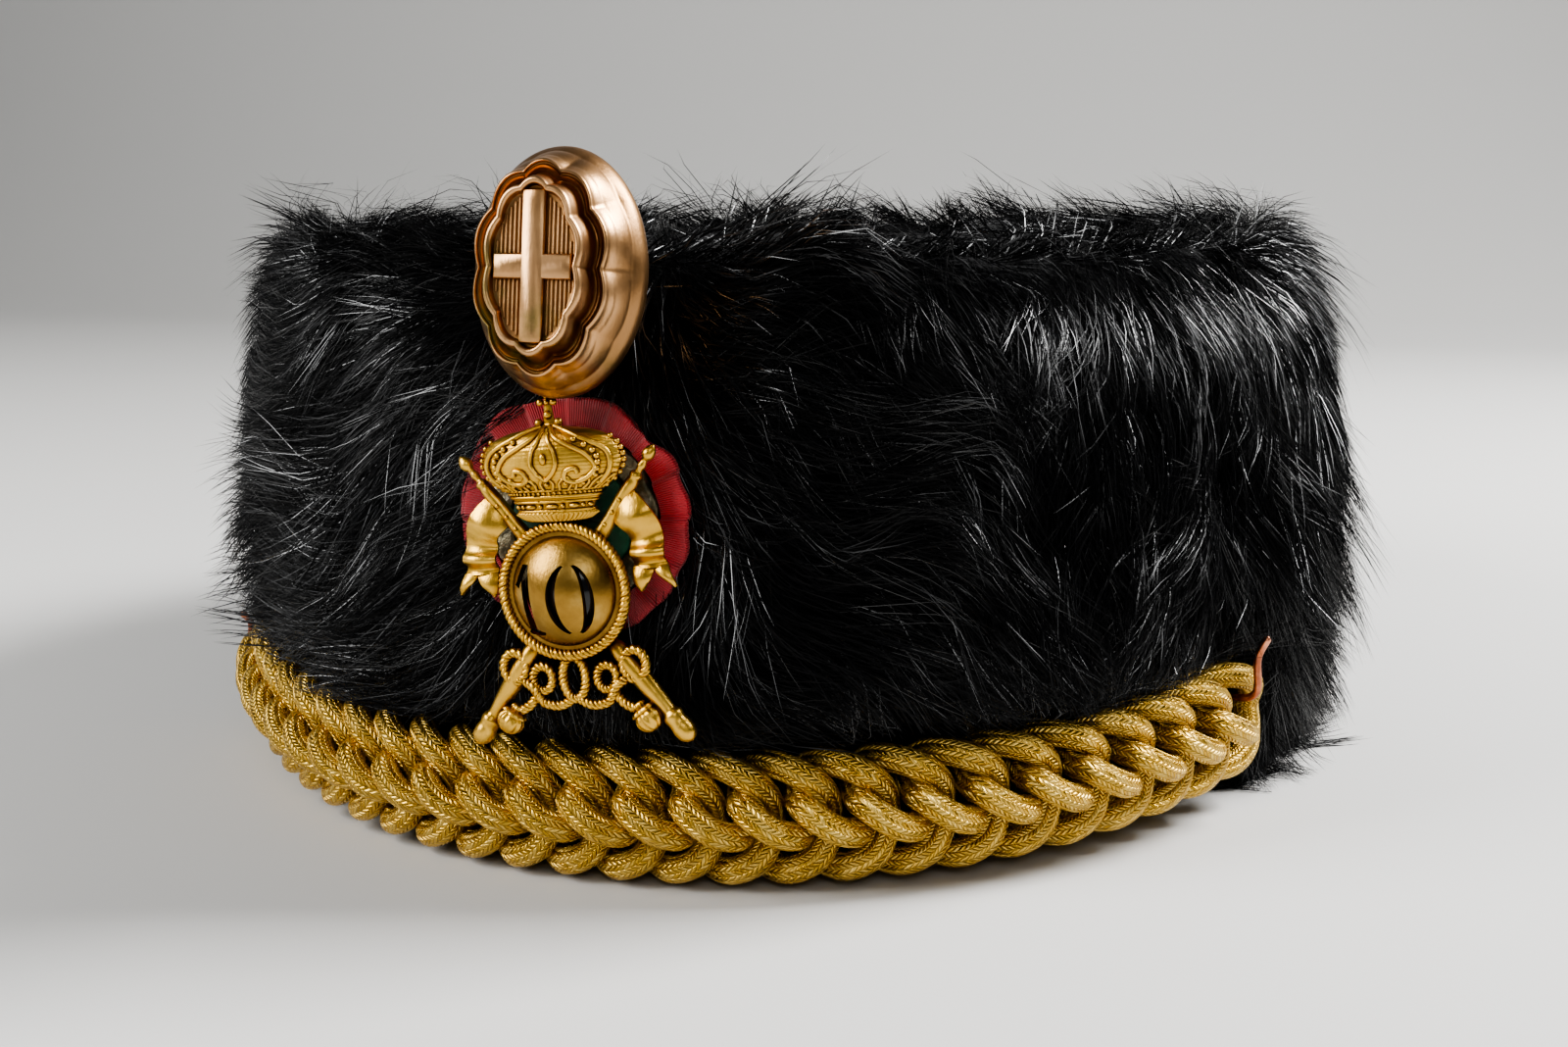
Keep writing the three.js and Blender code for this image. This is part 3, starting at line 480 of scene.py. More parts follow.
for value, power in ((across, 6.0), (along_float, 2.0)):
    off = calc(sleeve, "SUBTRACT", calc(sleeve, "MULTIPLY", value, 2.0), 1.0)
    off = calc(sleeve, "POWER", calc(sleeve, "ABSOLUTE", off), power)
    edges.append(calc(sleeve, "SUBTRACT", 1.0, off))
dome = calc(sleeve, "MULTIPLY", *edges)
THREE_THREADS = 18.85  # three waves, for the three threads of a float
threads = calc(sleeve, "SINE", calc(sleeve, "MULTIPLY", along_float, THREE_THREADS))
feed(given["Height"], calc(sleeve, "ADD", dome, calc(sleeve, "MULTIPLY", threads, 0.07)))
feed(given["Gap"], calc(sleeve, "SUBTRACT", 1.0, calc(sleeve, "MULTIPLY", dome, 2.2),
                        clamp=True))
cell = add(sleeve, "CombineXYZ", X=column, Y=row)
dice = add(sleeve, "TexWhiteNoise", Vector=cell.outputs[0])
feed(given["Random"], dice.outputs["Value"])
print("node group", sleeve.name)

# %% [markdown]
# ## The plaited cord
# The cord round the hat is one length worked like a crochet chain: every loop is pulled
# through the two before it, so big loops lie above and below and a small one crosses each
# in front. One stitch is a short table of points; repeating it along the oval gives the
# whole line, and carrying a round outline along that line gives the cord.

# %% Table of one stitch
# along: share of the pitch, up and out: cord spacings, ahead: stitches ahead
STITCH = [
    (-0.01, 0.6, -0.14, 0), (0.06, 0.55, 0.6, 0), (0.3, 0.18, 0.9, 0),
    (0.62, -0.26, 0.9, 0), (0.92, -0.5, 0.56, 0), (0.02, -0.58, -0.16, 1),
    (-0.97, -0.92, -1.0, 2), (-0.78, -1.62, -1.18, 2), (-0.48, -1.98, -0.66, 2),
    (-0.14, -1.98, -0.06, 2), (0.28, -1.56, 0.04, 2), (0.5, -0.76, -0.18, 2),
    (0.52, 0.12, -0.32, 2), (0.4, 0.98, 0.0, 2), (0.06, 1.62, 0.16, 2),
    (-0.36, 1.92, -0.3, 2), (-0.71, 1.78, -0.98, 2), (-0.95, 1.24, -1.24, 2),
]
FIRST_LOOP = 6  # the row at which the first loop starts
EYE = [  # the loop round the left hook: along, up and out as above
    (-1.2, 0.95, -0.95), (-1.55, 1.05, -0.75), (-1.95, 0.75, -0.6),
    (-2.2, 0.0, -0.55), (-1.95, -0.75, -0.6), (-1.5, -1.1, -0.75),
]
LAST_LOOP = STITCH_COUNT - 1
LOOP_END = max(row[0] for row in STITCH[FIRST_LOOP:])
EYE_END = min(row[0] for row in EYE)
BRAID_MIDDLE = (LAST_LOOP + EYE_END + LOOP_END) / 2
BRAID_HALF = LAST_LOOP + LOOP_END - BRAID_MIDDLE

guide_turns = np.linspace(-math.pi / 2, math.pi / 2, 4001)
guide = on_oval(guide_turns, BRAID_STANDOFF, 0.0)
guide_gone = gone_along(guide)


def braid_turn(stitches):
    stitches = np.asarray(stitches, float)
    reach = STITCH_PITCH * (stitches + STITCH_GROWTH * stitches**3)
    return np.interp(guide_gone[-1] / 2 + reach, guide_gone, guide_turns)


BRAID_END = float(braid_turn(BRAID_HALF))


def braid_height(turn):
    share = np.minimum(1, np.abs(turn) / BRAID_END) ** 2.2
    return BRAID_FRONT_HEIGHT * (1 - share) + BRAID_END_HEIGHT * share


def on_braid(stitches, up, out):
    turn = braid_turn(stitches)
    return on_oval(turn, BRAID_STANDOFF + np.asarray(out) * PLAIT_SPACING,
                   braid_height(turn) + np.asarray(up) * PLAIT_SPACING)


print("the plait reaches", round(math.degrees(BRAID_END)), "degrees either way")

# %% Line of the cord
places = [(along - BRAID_MIDDLE, up, out) for along, up, out in EYE]
for k in range(-2, LAST_LOOP - 1):
    for i, (along, up, out, ahead) in enumerate(STITCH):
        if k > -2 or i >= FIRST_LOOP:
            places.append((k + ahead + along - BRAID_MIDDLE, up, out))
places += [(LAST_LOOP - 1 + row[0] - BRAID_MIDDLE, row[1], row[2])
           for row in STITCH[: FIRST_LOOP - 1]]
braid_points = on_braid(*np.array(places).T)

# %% [markdown]
# The thread is real gilt wire, so it shines yellow on the crown of each float. Between the
# floats its colour is painted darker brown as shade. Each float is a little lighter or darker
# than the next, and two small dark stains sit where the photograph shows them near the front.

# %% Gold cord material
gold_cord, tree, shader = new_material("Gold cord", (0.8, 0.55, 0.16), 0.34, 1.0)
woven = use(tree, sleeve, Flat=on_flat(tree), Columns=16.0, Pitch=0.86, Slant=1.05)
wear = worn(tree)
thread = colours(tree, woven["Random"], [
    (0.0, (0.6, 0.37, 0.055)), (0.5, (0.73, 0.48, 0.1)), (1.0, (0.88, 0.64, 0.18))])
dulled = blend(tree, calc(tree, "MULTIPLY", wear["Blotches"], 0.3), thread, (0.36, 0.17, 0.02))
# Painted shade: the gaps between the floats are darkened to brown.
gap_shade_and_stains = blend(tree, calc(tree, "MULTIPLY", woven["Gap"], 0.7), dulled, (0.2, 0.09, 0.015))
STAINS = [  # x, y, z and radius in metres
    (-0.0815, -0.1004, 0.0035, 0.0042), (-0.0715, -0.1115, 0.0215, 0.0022),
]
for x, y, z, size in STAINS:
    spot = add(tree, "VectorMath", Vector=on_object(tree))
    spot.operation = "DISTANCE"
    spot.inputs[1].default_value = (x + HAT_AXIS[0], y + HAT_AXIS[1], z)
    stain = add(tree, "MapRange", Value=spot.outputs["Value"], From_Min=size * 0.3,
                From_Max=size, To_Min=0.85, To_Max=0.0)
    gap_shade_and_stains = blend(tree, calc(tree, "MULTIPLY", stain.outputs[0], wear["Blotches"]), gap_shade_and_stains,
                 (0.07, 0.035, 0.02))
feed(shader.inputs["Base Color"], gap_shade_and_stains)
rough = calc(tree, "ADD", 0.23, calc(tree, "MULTIPLY", woven["Random"], 0.16))
rough = calc(tree, "ADD", rough, calc(tree, "MULTIPLY", woven["Gap"], 0.3))
feed(shader.inputs["Roughness"], rough)
raise_by(tree, shader, woven["Height"], 0.00026)

# %% Cord
braid_shape = Shape()
cord(braid_shape, braid_points, CORD_THICKNESS / 2, sides=20,
     step=0.85, rounded=True)
braid = braid_shape.make("plaited_cord", gold_cord, crease=0)
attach(braid, "root")
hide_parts("braided_cord")

# %% [markdown]
# ## Hooks
# A copper hook at each end of the plait holds it to the hat. The wire comes straight out
# of the body and turns up through the last loop. Its colour is patchy, dark to bright.

# %% Hooks
copper, tree, shader = new_material("Copper wire", (0.45, 0.16, 0.08), 0.3, 1.0)
wear = worn(tree, 1.5)
feed(shader.inputs["Base Color"], colours(tree, wear["Blotches"], [
    (0.3, (0.16, 0.05, 0.03)), (0.5, (0.42, 0.14, 0.07)), (0.72, (0.75, 0.33, 0.2))]))
raise_by(tree, shader, wear["Pits"], 0.00003)


def flare_at(height):
    return BODY_FLARE * np.clip(height / BODY_HEIGHT, 0, 1)


HOOK_LINE = [(0, 0), (0.5, 0), (0.95, 0.02), (1, 0.14), (1, 0.66), (1.06, 1)]
HOOKS = [  # along: stitches from the first, up: cord spacings, rise of the tip in mm, node
    (-1.5, 0.0, 7, "hook_left"), (LAST_LOOP - 0.1, 0.9, 12.6, "hook_right"),
]
for along, up, rise, node in HOOKS:
    turn = float(braid_turn(along - BRAID_MIDDLE))
    base = float(braid_height(turn)) + up * PLAIT_SPACING
    start, out = float(flare_at(base)) - BODY_WALL + GAP, BRAID_STANDOFF + HOOK_REACH
    points = [on_oval(turn, start + (out - start) * outward, base + upward * rise)
              for outward, upward in HOOK_LINE]
    hook_shape = Shape()
    cord(hook_shape, points, HOOK_WIRE / 2, sides=20, step=0.5, rounded=True)
    hook = hook_shape.make("wire_" + node, copper, crease=0)
    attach(hook, "root")
    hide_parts(node)

# %% [markdown]
# ## Body and top
# Under the fur is a stiff oval body with a flat top. Only its inside and the middle of the
# top can be seen. The wall is a thin ring bent on the oval, smooth where the solid is
# faceted.

# %% Body and top
lining, tree, shader = new_material("Dark leather", (0.035, 0.022, 0.014), 0.55)
grain = worn(tree, 0.5)
feed(shader.inputs["Base Color"], colours(tree, grain["Blotches"], [
    (0.35, (0.02, 0.013, 0.009)), (0.7, (0.06, 0.038, 0.024))]))
raise_by(tree, shader, grain["Pits"], 0.0002)
top_cloth, tree, shader = new_material("Black cloth", (0.006, 0.0055, 0.006), 0.9)
shader.inputs["Specular IOR Level"].default_value = 0.2
weave_at = on_object(tree)
weft = add(tree, "TexWave", Vector=weave_at, Scale=420.0, Distortion=0.5)
warp = add(tree, "TexWave", Vector=weave_at, Scale=420.0, Distortion=0.5)
warp.bands_direction = "Y"
raise_by(tree, shader, calc(tree, "MULTIPLY", weft.outputs["Fac"], warp.outputs["Fac"]), 0.0002)

turns = np.linspace(-math.pi, math.pi, 180, endpoint=False)
wall = np.array([  # out and height
    (0.0, 0.5), (-0.5, 0.0), (-BODY_WALL + 0.5, 0.0), (-BODY_WALL, 0.5),
    (BODY_FLARE - BODY_WALL, BODY_HEIGHT), (BODY_FLARE, BODY_HEIGHT), (0.0, 0.5),
], float)
points = on_oval(turns[None], wall[:, :1], wall[:, 1:2])
body = Shape().grid(points, around=True).make("body_wall", lining, crease=30)
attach(body, "root")
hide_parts("body_shell")

top_low, top_high = BODY_HEIGHT + GAP, BODY_HEIGHT + GAP + CROWN_THICKNESS
rows = np.array([  # share of the way to the edge, height
    (ON_AXIS, top_low), (0.5, top_low), (1, top_low), (1, top_high - 0.4),
    (0.995, top_high), (0.5, top_high), (ON_AXIS, top_high),
])
edge = on_oval(turns, BODY_FLARE, 0.0)
disc = np.stack([edge[None, :, 0] * rows[:, :1], edge[None, :, 1] * rows[:, :1],
                 rows[:, 1:2] + 0 * edge[None, :, 0]], -1)
crown_top = Shape().grid(disc, around=True).make("top_of_body", top_cloth, crease=30)
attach(crown_top, "root")
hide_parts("crown_top")

# %% [markdown]
# ## Cockade
# Three rings of gathered ribbon: red silk outside, tarnished silver lace, green silk
# inside. Each ring is a flat band pressed into knife pleats, so its grid is lifted and
# dropped by a saw-toothed wave as it goes round, and the ribs of the silk are a fine bump.

# %% Silk and lace
def silk(name, dark, light, shine):
    material, tree, shader = new_material(name, light, shine)
    shader.inputs["Sheen Weight"].default_value = 0.25
    round_it = add(tree, "SeparateXYZ", Vector=on_flat(tree)).outputs["X"]
    rib = calc(tree, "SINE", calc(tree, "MULTIPLY", round_it, 1900.0))
    wear = worn(tree, 0.8)
    tone = calc(tree, "ADD", calc(tree, "MULTIPLY", wear["Blotches"], 0.9),
                calc(tree, "MULTIPLY", rib, 0.06))
    feed(shader.inputs["Base Color"], colours(tree, tone, [(0.25, dark), (0.62, light)]))
    raise_by(tree, shader, rib, 0.00006)
    return material


red_silk = silk("Red ribbed silk", (0.16, 0.006, 0.01), (0.58, 0.022, 0.032), 0.42)
green_silk = silk("Green silk", (0.0, 0.05, 0.022), (0.0, 0.19, 0.075), 0.4)
silver_lace, tree, shader = new_material("Tarnished silver lace", (0.3, 0.27, 0.2), 0.4, 0.7)
wear = worn(tree, 2.2)
feed(shader.inputs["Base Color"], colours(tree, wear["Blotches"], [
    (0.35, (0.05, 0.042, 0.022)), (0.55, (0.2, 0.17, 0.1)), (0.7, (0.62, 0.58, 0.46))]))
raise_by(tree, shader, wear["Blotches"], 0.0006)

# %% Gathered rings
LEAN_SLOPE = math.tan(math.radians(BADGE_LEAN))
COCKADE_CENTRE = SHANK_HEIGHT - (COCKADE_SET_BACK - BADGE_DEPTH / 2) * LEAN_SLOPE
RED_DENTS = [  # degrees round from the right, how wide, how far out
    (125, 15, 1.3), (44, 10, -1.6), (62, 5, 0.5),
]


def pleated_ring(inner, outer, pleats):
    """A flat band from inner to outer, in knife pleats, and its rows."""
    angle = np.linspace(0, 2 * math.pi, 480, endpoint=False)
    phase = (pleats * angle + 0.4) / (2 * math.pi)
    saw = phase % 1
    wave = PLEAT_DEPTH * (2 * smooth_step(0.0, 0.82, saw) - 2 * smooth_step(0.84, 1.0, saw) - 1)
    half = SILK_THICKNESS / 2
    rows = [(inner, 0.0), (inner, half * 0.8), (inner + 0.3, half)]
    rows += [(inner + (outer - inner) * s, half) for s in (0.25, 0.5, 0.75)]
    rows += [(outer - 0.25, half), (outer, half * 0.7), (outer, -half)]
    rows = np.array(rows + [(inner, -half), (inner, 0.0)])
    swell = 0.18 * np.sin(phase * 2 * math.pi)
    if outer == COCKADE_RADIUS:
        for at, wide, much in RED_DENTS:
            swell = swell + much * np.exp(-(((np.degrees(angle) - at) / wide) ** 2))
    r = rows[:, :1] + (rows[:, :1] > outer - 0.3) * swell[None]
    share = (rows[:, :1] - inner) / (outer - inner)
    z = rows[:, 1:2] + wave[None] * (0.75 + 0.25 * share)
    return np.stack([r * np.cos(angle), r * np.sin(angle) + COCKADE_CENTRE,
                     z - COCKADE_SET_BACK], -1), rows


ring_gap = GAP + 0.15
hub = SHANK_RADIUS + 1.3 * GAP + (SILK_THICKNESS / 2 + PLEAT_DEPTH) * abs(LEAN_SLOPE)
for name, node, inner, outer, pleats, stuff in (
    ("red_ribbon", "cockade_red", SILVER_RADIUS + ring_gap, COCKADE_RADIUS, 16, red_silk),
    ("silver_ribbon", "cockade_silver", GREEN_RADIUS + ring_gap, SILVER_RADIUS, 12, silver_lace),
    ("green_ribbon", "cockade_green", hub, GREEN_RADIUS, 8, green_silk),
):
    points, rows = pleated_ring(inner, outer, pleats)
    ring = Shape().grid(points, around=True, v=rows[:, 0]).place(BADGE)
    ring = ring.make(name, stuff, crease=50)
    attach(ring, "root")
    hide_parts(node)

# %% [markdown]
# ## Gilt
# The badge is stamped and gilt: yellow where it is rubbed, and painted darker orange-brown in its
# hollows as shade. How deep a spot lies is found with an ambient occlusion node, which is plain
# geometry and doesn't depend on the view, and the shared masks of wear break the colour up. The
# boss
# is a browner bronze: olive tarnish low down on one side, and its side painted darker all round as
# shade.

# %% Gilt and bronze materials
def gilt(name, hollow_shade, mid, bright, reach, rough, pits, blot=0.35):
    material, tree, shader = new_material(name, mid, rough, 1.0)
    wear = worn(tree)
    # Painted shade: the occlusion darkens the colour in hollows towards the darkest stop; the
    # blotches add wear.
    ao_shade = add(tree, "AmbientOcclusion", Distance=reach)
    ao_shade.samples = 6
    tone = calc(tree, "ADD", calc(tree, "MULTIPLY", ao_shade.outputs["AO"], 1 - blot),
                calc(tree, "MULTIPLY", wear["Blotches"], blot))
    metal = colours(tree, tone, [(0.38, hollow_shade), (0.68, mid), (0.9, bright)])
    feed(shader.inputs["Base Color"], metal)
    duller = calc(tree, "MULTIPLY", wear["Blotches"], 0.26)
    feed(shader.inputs["Roughness"], calc(tree, "ADD", rough - 0.12, duller))
    raise_by(tree, shader, calc(tree, "ADD", wear["Pits"], wear["Streaks"]), pits)
    return material, tree, shader, metal


badge_gilt, *_ = gilt("Badge gilt", (0.1, 0.035, 0.004), (0.52, 0.27, 0.035),
                      (0.85, 0.54, 0.11), 0.0022, 0.32, 0.00004)
dome_gilt, *_ = gilt("Rubbed gilt", (0.13, 0.055, 0.012), (0.36, 0.21, 0.05),
                     (0.66, 0.46, 0.16), 0.003, 0.3, 0.00003, blot=0.75)
boss_metal, tree, shader, bronze = gilt("Satin bronze", (0.24, 0.1, 0.03), (0.44, 0.23, 0.09),
                                        (0.68, 0.4, 0.2), 0.003, 0.33, 0.00002)
height_at = add(tree, "SeparateXYZ", Vector=on_object(tree)).outputs
low_down = add(tree, "MapRange", Value=calc(tree, "ADD", height_at["Z"], height_at["X"]),
               From_Min=(BOSS_HEIGHT + 1) * 0.001, From_Max=(BOSS_HEIGHT - 4) * 0.001)
patch = add(tree, "MapRange", Value=worn(tree, 0.8)["Blotches"], From_Min=0.44, From_Max=0.6,
            To_Max=0.75)
olive = blend(tree, calc(tree, "MULTIPLY", low_down.outputs[0], patch.outputs[0]), bronze,
              (0.17, 0.15, 0.04))
# Painted shade: the boss's side is darkened towards dark brown all round, between these distances.
FLANK_FROM, FLANK_TO = (10.6, 12.5), (24.8, 27.0)  # mm along the boss's profile, fading
gone_mm = add(tree, "SeparateXYZ", Vector=on_flat(tree)).outputs["Y"]
begun = add(tree, "MapRange", Value=gone_mm, From_Min=FLANK_FROM[0], From_Max=FLANK_FROM[1])
ended = add(tree, "MapRange", Value=gone_mm, From_Min=FLANK_TO[1], From_Max=FLANK_TO[0],
            To_Max=0.65)
flank_shade = calc(tree, "MULTIPLY", begun.outputs[0], ended.outputs[0])
feed(shader.inputs["Base Color"], blend(tree, flank_shade, olive, (0.2, 0.1, 0.035)))
black_glass, *_ = new_material("Black lens", (0.006, 0.005, 0.007), 0.12)

# %% [markdown]
# ## Badge: disc, number and rope
# The disc is a thin dome with a plain cut-through number, edged with laid rope. The number
# is cut with a boolean, because its walls show; the rope is a cord with three strands.

# %% Dome with its cut number
def dome_line(radius, base, rise, count):
    r = radius * (1 - np.linspace(0, 1, count + 1))
    return np.stack([r, base + rise * (1 - (r / radius) ** 2) ** 0.8], 1)


back = -BADGE_DEPTH / 2
dome_radius, dome_crease = DISC_RADIUS - 0.6, 35
inner_rise = DOME_RISE + BADGE_DEPTH - DOME_WALL
inner = dome_line(dome_radius - DOME_WALL, back, inner_rise, 24)[::-1]
outer = dome_line(dome_radius, BADGE_DEPTH / 2, DOME_RISE, 28)
edge = DISC_RADIUS + ROPE_THICKNESS - 0.7
rim = [[edge, back], [edge, -back], [DISC_RADIUS - 0.2, -back]]
inner[0, 0] = outer[-1, 0] = ON_AXIS
dome_shape = lathe(Shape(), np.concatenate([inner, rim, outer]), 120)
dome = dome_shape.place(BADGE).make("badge_dome", dome_gilt, crease=dome_crease)


def number_cutter():
    """The two figures as upright prisms: a one with slab ends, and the halves of a nought."""
    high, low = 0.5 * DISC_RADIUS, -0.72 * DISC_RADIUS
    middle, outside, inside = 2.3, 3.9, 2.2  # the nought: its middle and two half widths
    behind, before = -1, 12  # where the prisms end, out from the badge's plane
    outlines = [[
        (-4.9, high), (-6.2, high), (-7.8, high - 3.3), (-7.0, high - 3.9), (-6.4, high - 2.6),
        (-6.1, low + 1.1), (-6.8, low + 0.5), (-6.2, low), (-3.2, low), (-3.0, low + 0.5),
        (-4.5, low + 1.1),
    ]]
    a = np.radians(np.linspace(-74, 74, 25))
    y = (high + low) / 2 + (high - low) / 2 * np.sin(a)
    for side in (1, -1):
        far = np.stack([middle + side * outside * np.cos(a), y], 1)
        near = np.stack([middle + side * inside * np.cos(a), y * 0.97 - 0.02], 1)
        outlines.append(np.concatenate([far, near[::-1]]).tolist())
    work = bmesh.new()
    for points in outlines:
        low_ring, high_ring = (
            [work.verts.new(placed([[x, y, z]], BADGE)[0] * 0.001 + HAT_AXIS) for x, y in points]
            for z in (behind, before))
        work.faces.new(low_ring[::-1])
        work.faces.new(high_ring)
        for i in range(len(points)):
            j = (i + 1) % len(points)
            work.faces.new((low_ring[i], low_ring[j], high_ring[j], high_ring[i]))
    bmesh.ops.recalc_face_normals(work, faces=work.faces)
    mesh = bpy.data.meshes.new("Number cutter")
    work.to_mesh(mesh)
    work.free()
    cutter = bpy.data.objects.new("Number cutter", mesh)
    bpy.context.scene.collection.objects.link(cutter)
    return cutter


cutter = number_cutter()
cut = dome.modifiers.new("Number", "BOOLEAN")
cut.operation, cut.object, cut.solver = "DIFFERENCE", cutter, "EXACT"
bpy.context.view_layer.update()
cut_mesh = bpy.data.meshes.new_from_object(
    dome.evaluated_get(bpy.context.evaluated_depsgraph_get()))
dome.modifiers.clear()
dome.data = cut_mesh
dome.data.shade_smooth()
dome.data.set_sharp_from_angle(angle=math.radians(dome_crease))
bpy.data.objects.remove(cutter)
print("dome after the cut", len(dome.data.polygons), "faces")

lens = dome_line(dome_radius - DOME_WALL - 1.6 * GAP, back, inner_rise - 1.6 * GAP, 20)
flat_back = SHAFT_RADIUS * 0.5 + back + GAP
lens = lens[lens[:, 1] > flat_back]
lens[-1, 0] = ON_AXIS
lens = np.concatenate([[[ON_AXIS, flat_back], [lens[0, 0], flat_back]], lens])
number_back = lathe(Shape(), lens, 64).place(BADGE).make("black_lens", black_glass, crease=30)
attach(number_back, "root")
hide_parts("number_backing")

# %% [markdown]
# ## Badge: lances, pennons and knots
# Two crossed lances run behind the disc, each turned like a baluster, with a forked pennon
# curling from it. The pennons are sheets bent by a table of rows: left and right edge,
# and how far each row stands out. Below hang laid cords with loops and acorn tassels.

# %% Lances
LANCE = [  # share of the length from the tip, radius in shaft radii
    (0.0, 0.02), (0.006, 0.55), (0.012, 0.9), (0.028, 1.3), (0.04, 1.1), (0.05, 0.6),
    (0.068, 0.85), (0.085, 0.62), (0.093, 1.2), (0.1, 1.3), (0.108, 1.1), (0.12, 1.3),
    (0.15, 1.45), (0.2, 1.4), (0.26, 1.5), (0.31, 1.5), (0.322, 1.0), (0.34, 0.95),
    (0.5, 0.95), (0.655, 1.0), (0.665, 1.35), (0.68, 1.7), (0.72, 2.0), (0.76, 2.1),
    (0.83, 1.85), (0.89, 1.5), (0.9, 1.55), (0.912, 2.1), (0.935, 1.95), (0.955, 2.15),
    (0.98, 1.9), (0.995, 1.0), (1.0, 0.02),
]


def rolled(degrees, x, y, z):
    """A place on the badge, rolled in its plane about x, y, z."""
    a = math.radians(degrees)
    return np.array([[math.cos(a), -math.sin(a), 0], [math.sin(a), math.cos(a), 0],
                     [0, 0, 1], [x, y, z]])


def lance(shape, side):
    rows = finer([(r * SHAFT_RADIUS, LANCE_TOP - at * LANCE_LENGTH) for at, r in LANCE], 0.3)
    behind = -BADGE_DEPTH / 2 - SHAFT_RADIUS * 0.5
    part = Shape()
    lathe(part, rows, 16, axis="y")
    for at in (0.175, 0.215, 0.255, 0.295):
        ball(part, (0, LANCE_TOP - at * LANCE_LENGTH, SHAFT_RADIUS * 1.3), 0.42, rows=6, sides=8)
    shape.join(part.place(rolled(side * LANCE_SPREAD, 0, 0, behind)))


# %% Pennons
PENNON = [  # left x, left y, right x, right y, how far out: from the lance down to the fold
    (9.0, 11.3, 12.8, 15.9, -0.4), (9.6, 10.6, 14.4, 14.5, 0.3), (10.8, 9.6, 15.9, 12.7, 0.7),
    (11.6, 8.6, 16.9, 10.7, 0.1), (11.8, 7.5, 17.3, 8.7, -0.5), (11.8, 6.7, 17.5, 7.2, -0.1),
    (11.9, 6.0, 17.7, 6.3, 0.8), (11.9, 5.2, 17.7, 5.4, 0.9), (12.0, 4.5, 17.4, 4.6, 0.1),
    (12.0, 3.9, 17.6, 3.9, -0.4), (12.0, 3.1, 18.0, 3.1, -0.2),
]
TAILS = [  # the two points below the fold, as rows of the same kind
    [(12.0, 3.4, 15.7, 3.3, -0.3), (11.9, 2.3, 15.4, 2.3, 0.2), (12.0, 1.1, 14.9, 1.3, 0.4),
     (12.3, 0.1, 14.2, 0.4, 0.2), (12.8, -0.8, 13.4, -0.6, -0.4)],
    [(15.5, 3.4, 18.0, 3.3, -0.3), (15.9, 2.5, 18.3, 2.4, 0.2), (16.7, 1.6, 18.7, 1.5, 0.4),
     (17.6, 0.8, 19.0, 0.7, 0.2), (18.8, -0.3, 19.2, -0.1, -0.3)],
]


def bent_sheet(shape, rows, side, bulge, thick=0.5):
    rows = curve_through(rows, 0.28)[0]
    s = np.linspace(0, 1, 9)[None]
    x = (rows[:, :1] * (1 - s) + rows[:, 2:3] * s) * side
    y = rows[:, 1:2] * (1 - s) + rows[:, 3:4] * s
    z = rows[:, 4:5] + bulge * (4 * s * (1 - s) - 0.5)
    front = np.stack([x, y, z], -1)
    behind = front - [0, 0, thick]
    ring = np.concatenate([front, behind[:, ::-1]], 1)
    shape.grid(ring, around=True, lids=True)


# %% Knots and tassels
def rope(shape, points, thick, closed=False):
    cord(shape, points, thick / 2, sides=15, step=0.16,
         closed=closed, lobes=3, lay=2.6, dip=0.3, rounded=not closed)


def loop_of(x, y, z, radius, tall):
    a = np.linspace(0, 2 * math.pi, 16, endpoint=False)
    return np.stack([x + radius * np.cos(a), y + radius * tall * np.sin(a), z + 0 * a], 1)


def reeded(points, angle, radius):
    """Eleven shallow reeds round an acorn, its height left alone."""
    return points * (1 + 0.05 * np.cos(11 * angle))[..., None] ** [1, 0, 1]


ACORN = [  # radius and height in mm
    (ON_AXIS, 2.8), (0.9, 2.6), (1.2, 2.1), (1.0, 1.8), (1.9, 1.4), (2.2, 0.9), (1.9, 0.7),
    (2.2, 0.1), (2.3, -0.7), (2.0, -1.6), (1.2, -2.4), (ON_AXIS, -2.7),
]
badge_shape = Shape()
rope(badge_shape, loop_of(0, 0, -back, DISC_RADIUS + ROPE_THICKNESS / 2, 1), ROPE_THICKNESS, True)
foot = -DISC_RADIUS - ROPE_THICKNESS
THIN = 1.75  # the hanging cords, mm
rope(badge_shape, loop_of(0, foot - 2.9, 0.0, 2.0, 1.75), THIN, True)
for side in (-1, 1):
    lance(badge_shape, side)
    bent_sheet(badge_shape, PENNON, side, 0.9)
    for tail in TAILS:
        bent_sheet(badge_shape, tail, side, 0.35)
    rope(badge_shape, loop_of(side * 5.7, foot - 3.0, -0.2, 1.7, 1.2), THIN, True)
    rope(badge_shape, loop_of(side * 10.6, foot - 1.0, -0.3, 2.0, 1.2), THIN, True)
    rope(badge_shape, [(side * x, foot - y, z) for x, y, z in (
        (0.3, 6.3, 0.1), (2.9, 7.5, 0.0), (5.8, 6.9, 0.0), (7.3, 4.5, 0.3), (9.3, 3.1, -0.2))],
         THIN)
    rope(badge_shape, [(side * x, foot - y, -0.2) for x, y in (
        (6.7, 5.2), (8.2, 7.2), (10.6, 8.6))], THIN)
    acorn = lathe(Shape(), finer(ACORN, 0.15), 66, squash=0.8, axis="y", change=reeded)
    badge_shape.join(acorn.place(rolled(-side * 35, side * 12, foot - 9.6, -0.2)))

# %% [markdown]
# ## Badge: crown
# The crown is stamped half-round: a turned form squeezed flat. Its rows are a reeded
# foot, a band of jewels between two beadings, a bulging cap with arches of pearls, and a
# small cross on top. Its ornaments are placed by height and turn on that same form.

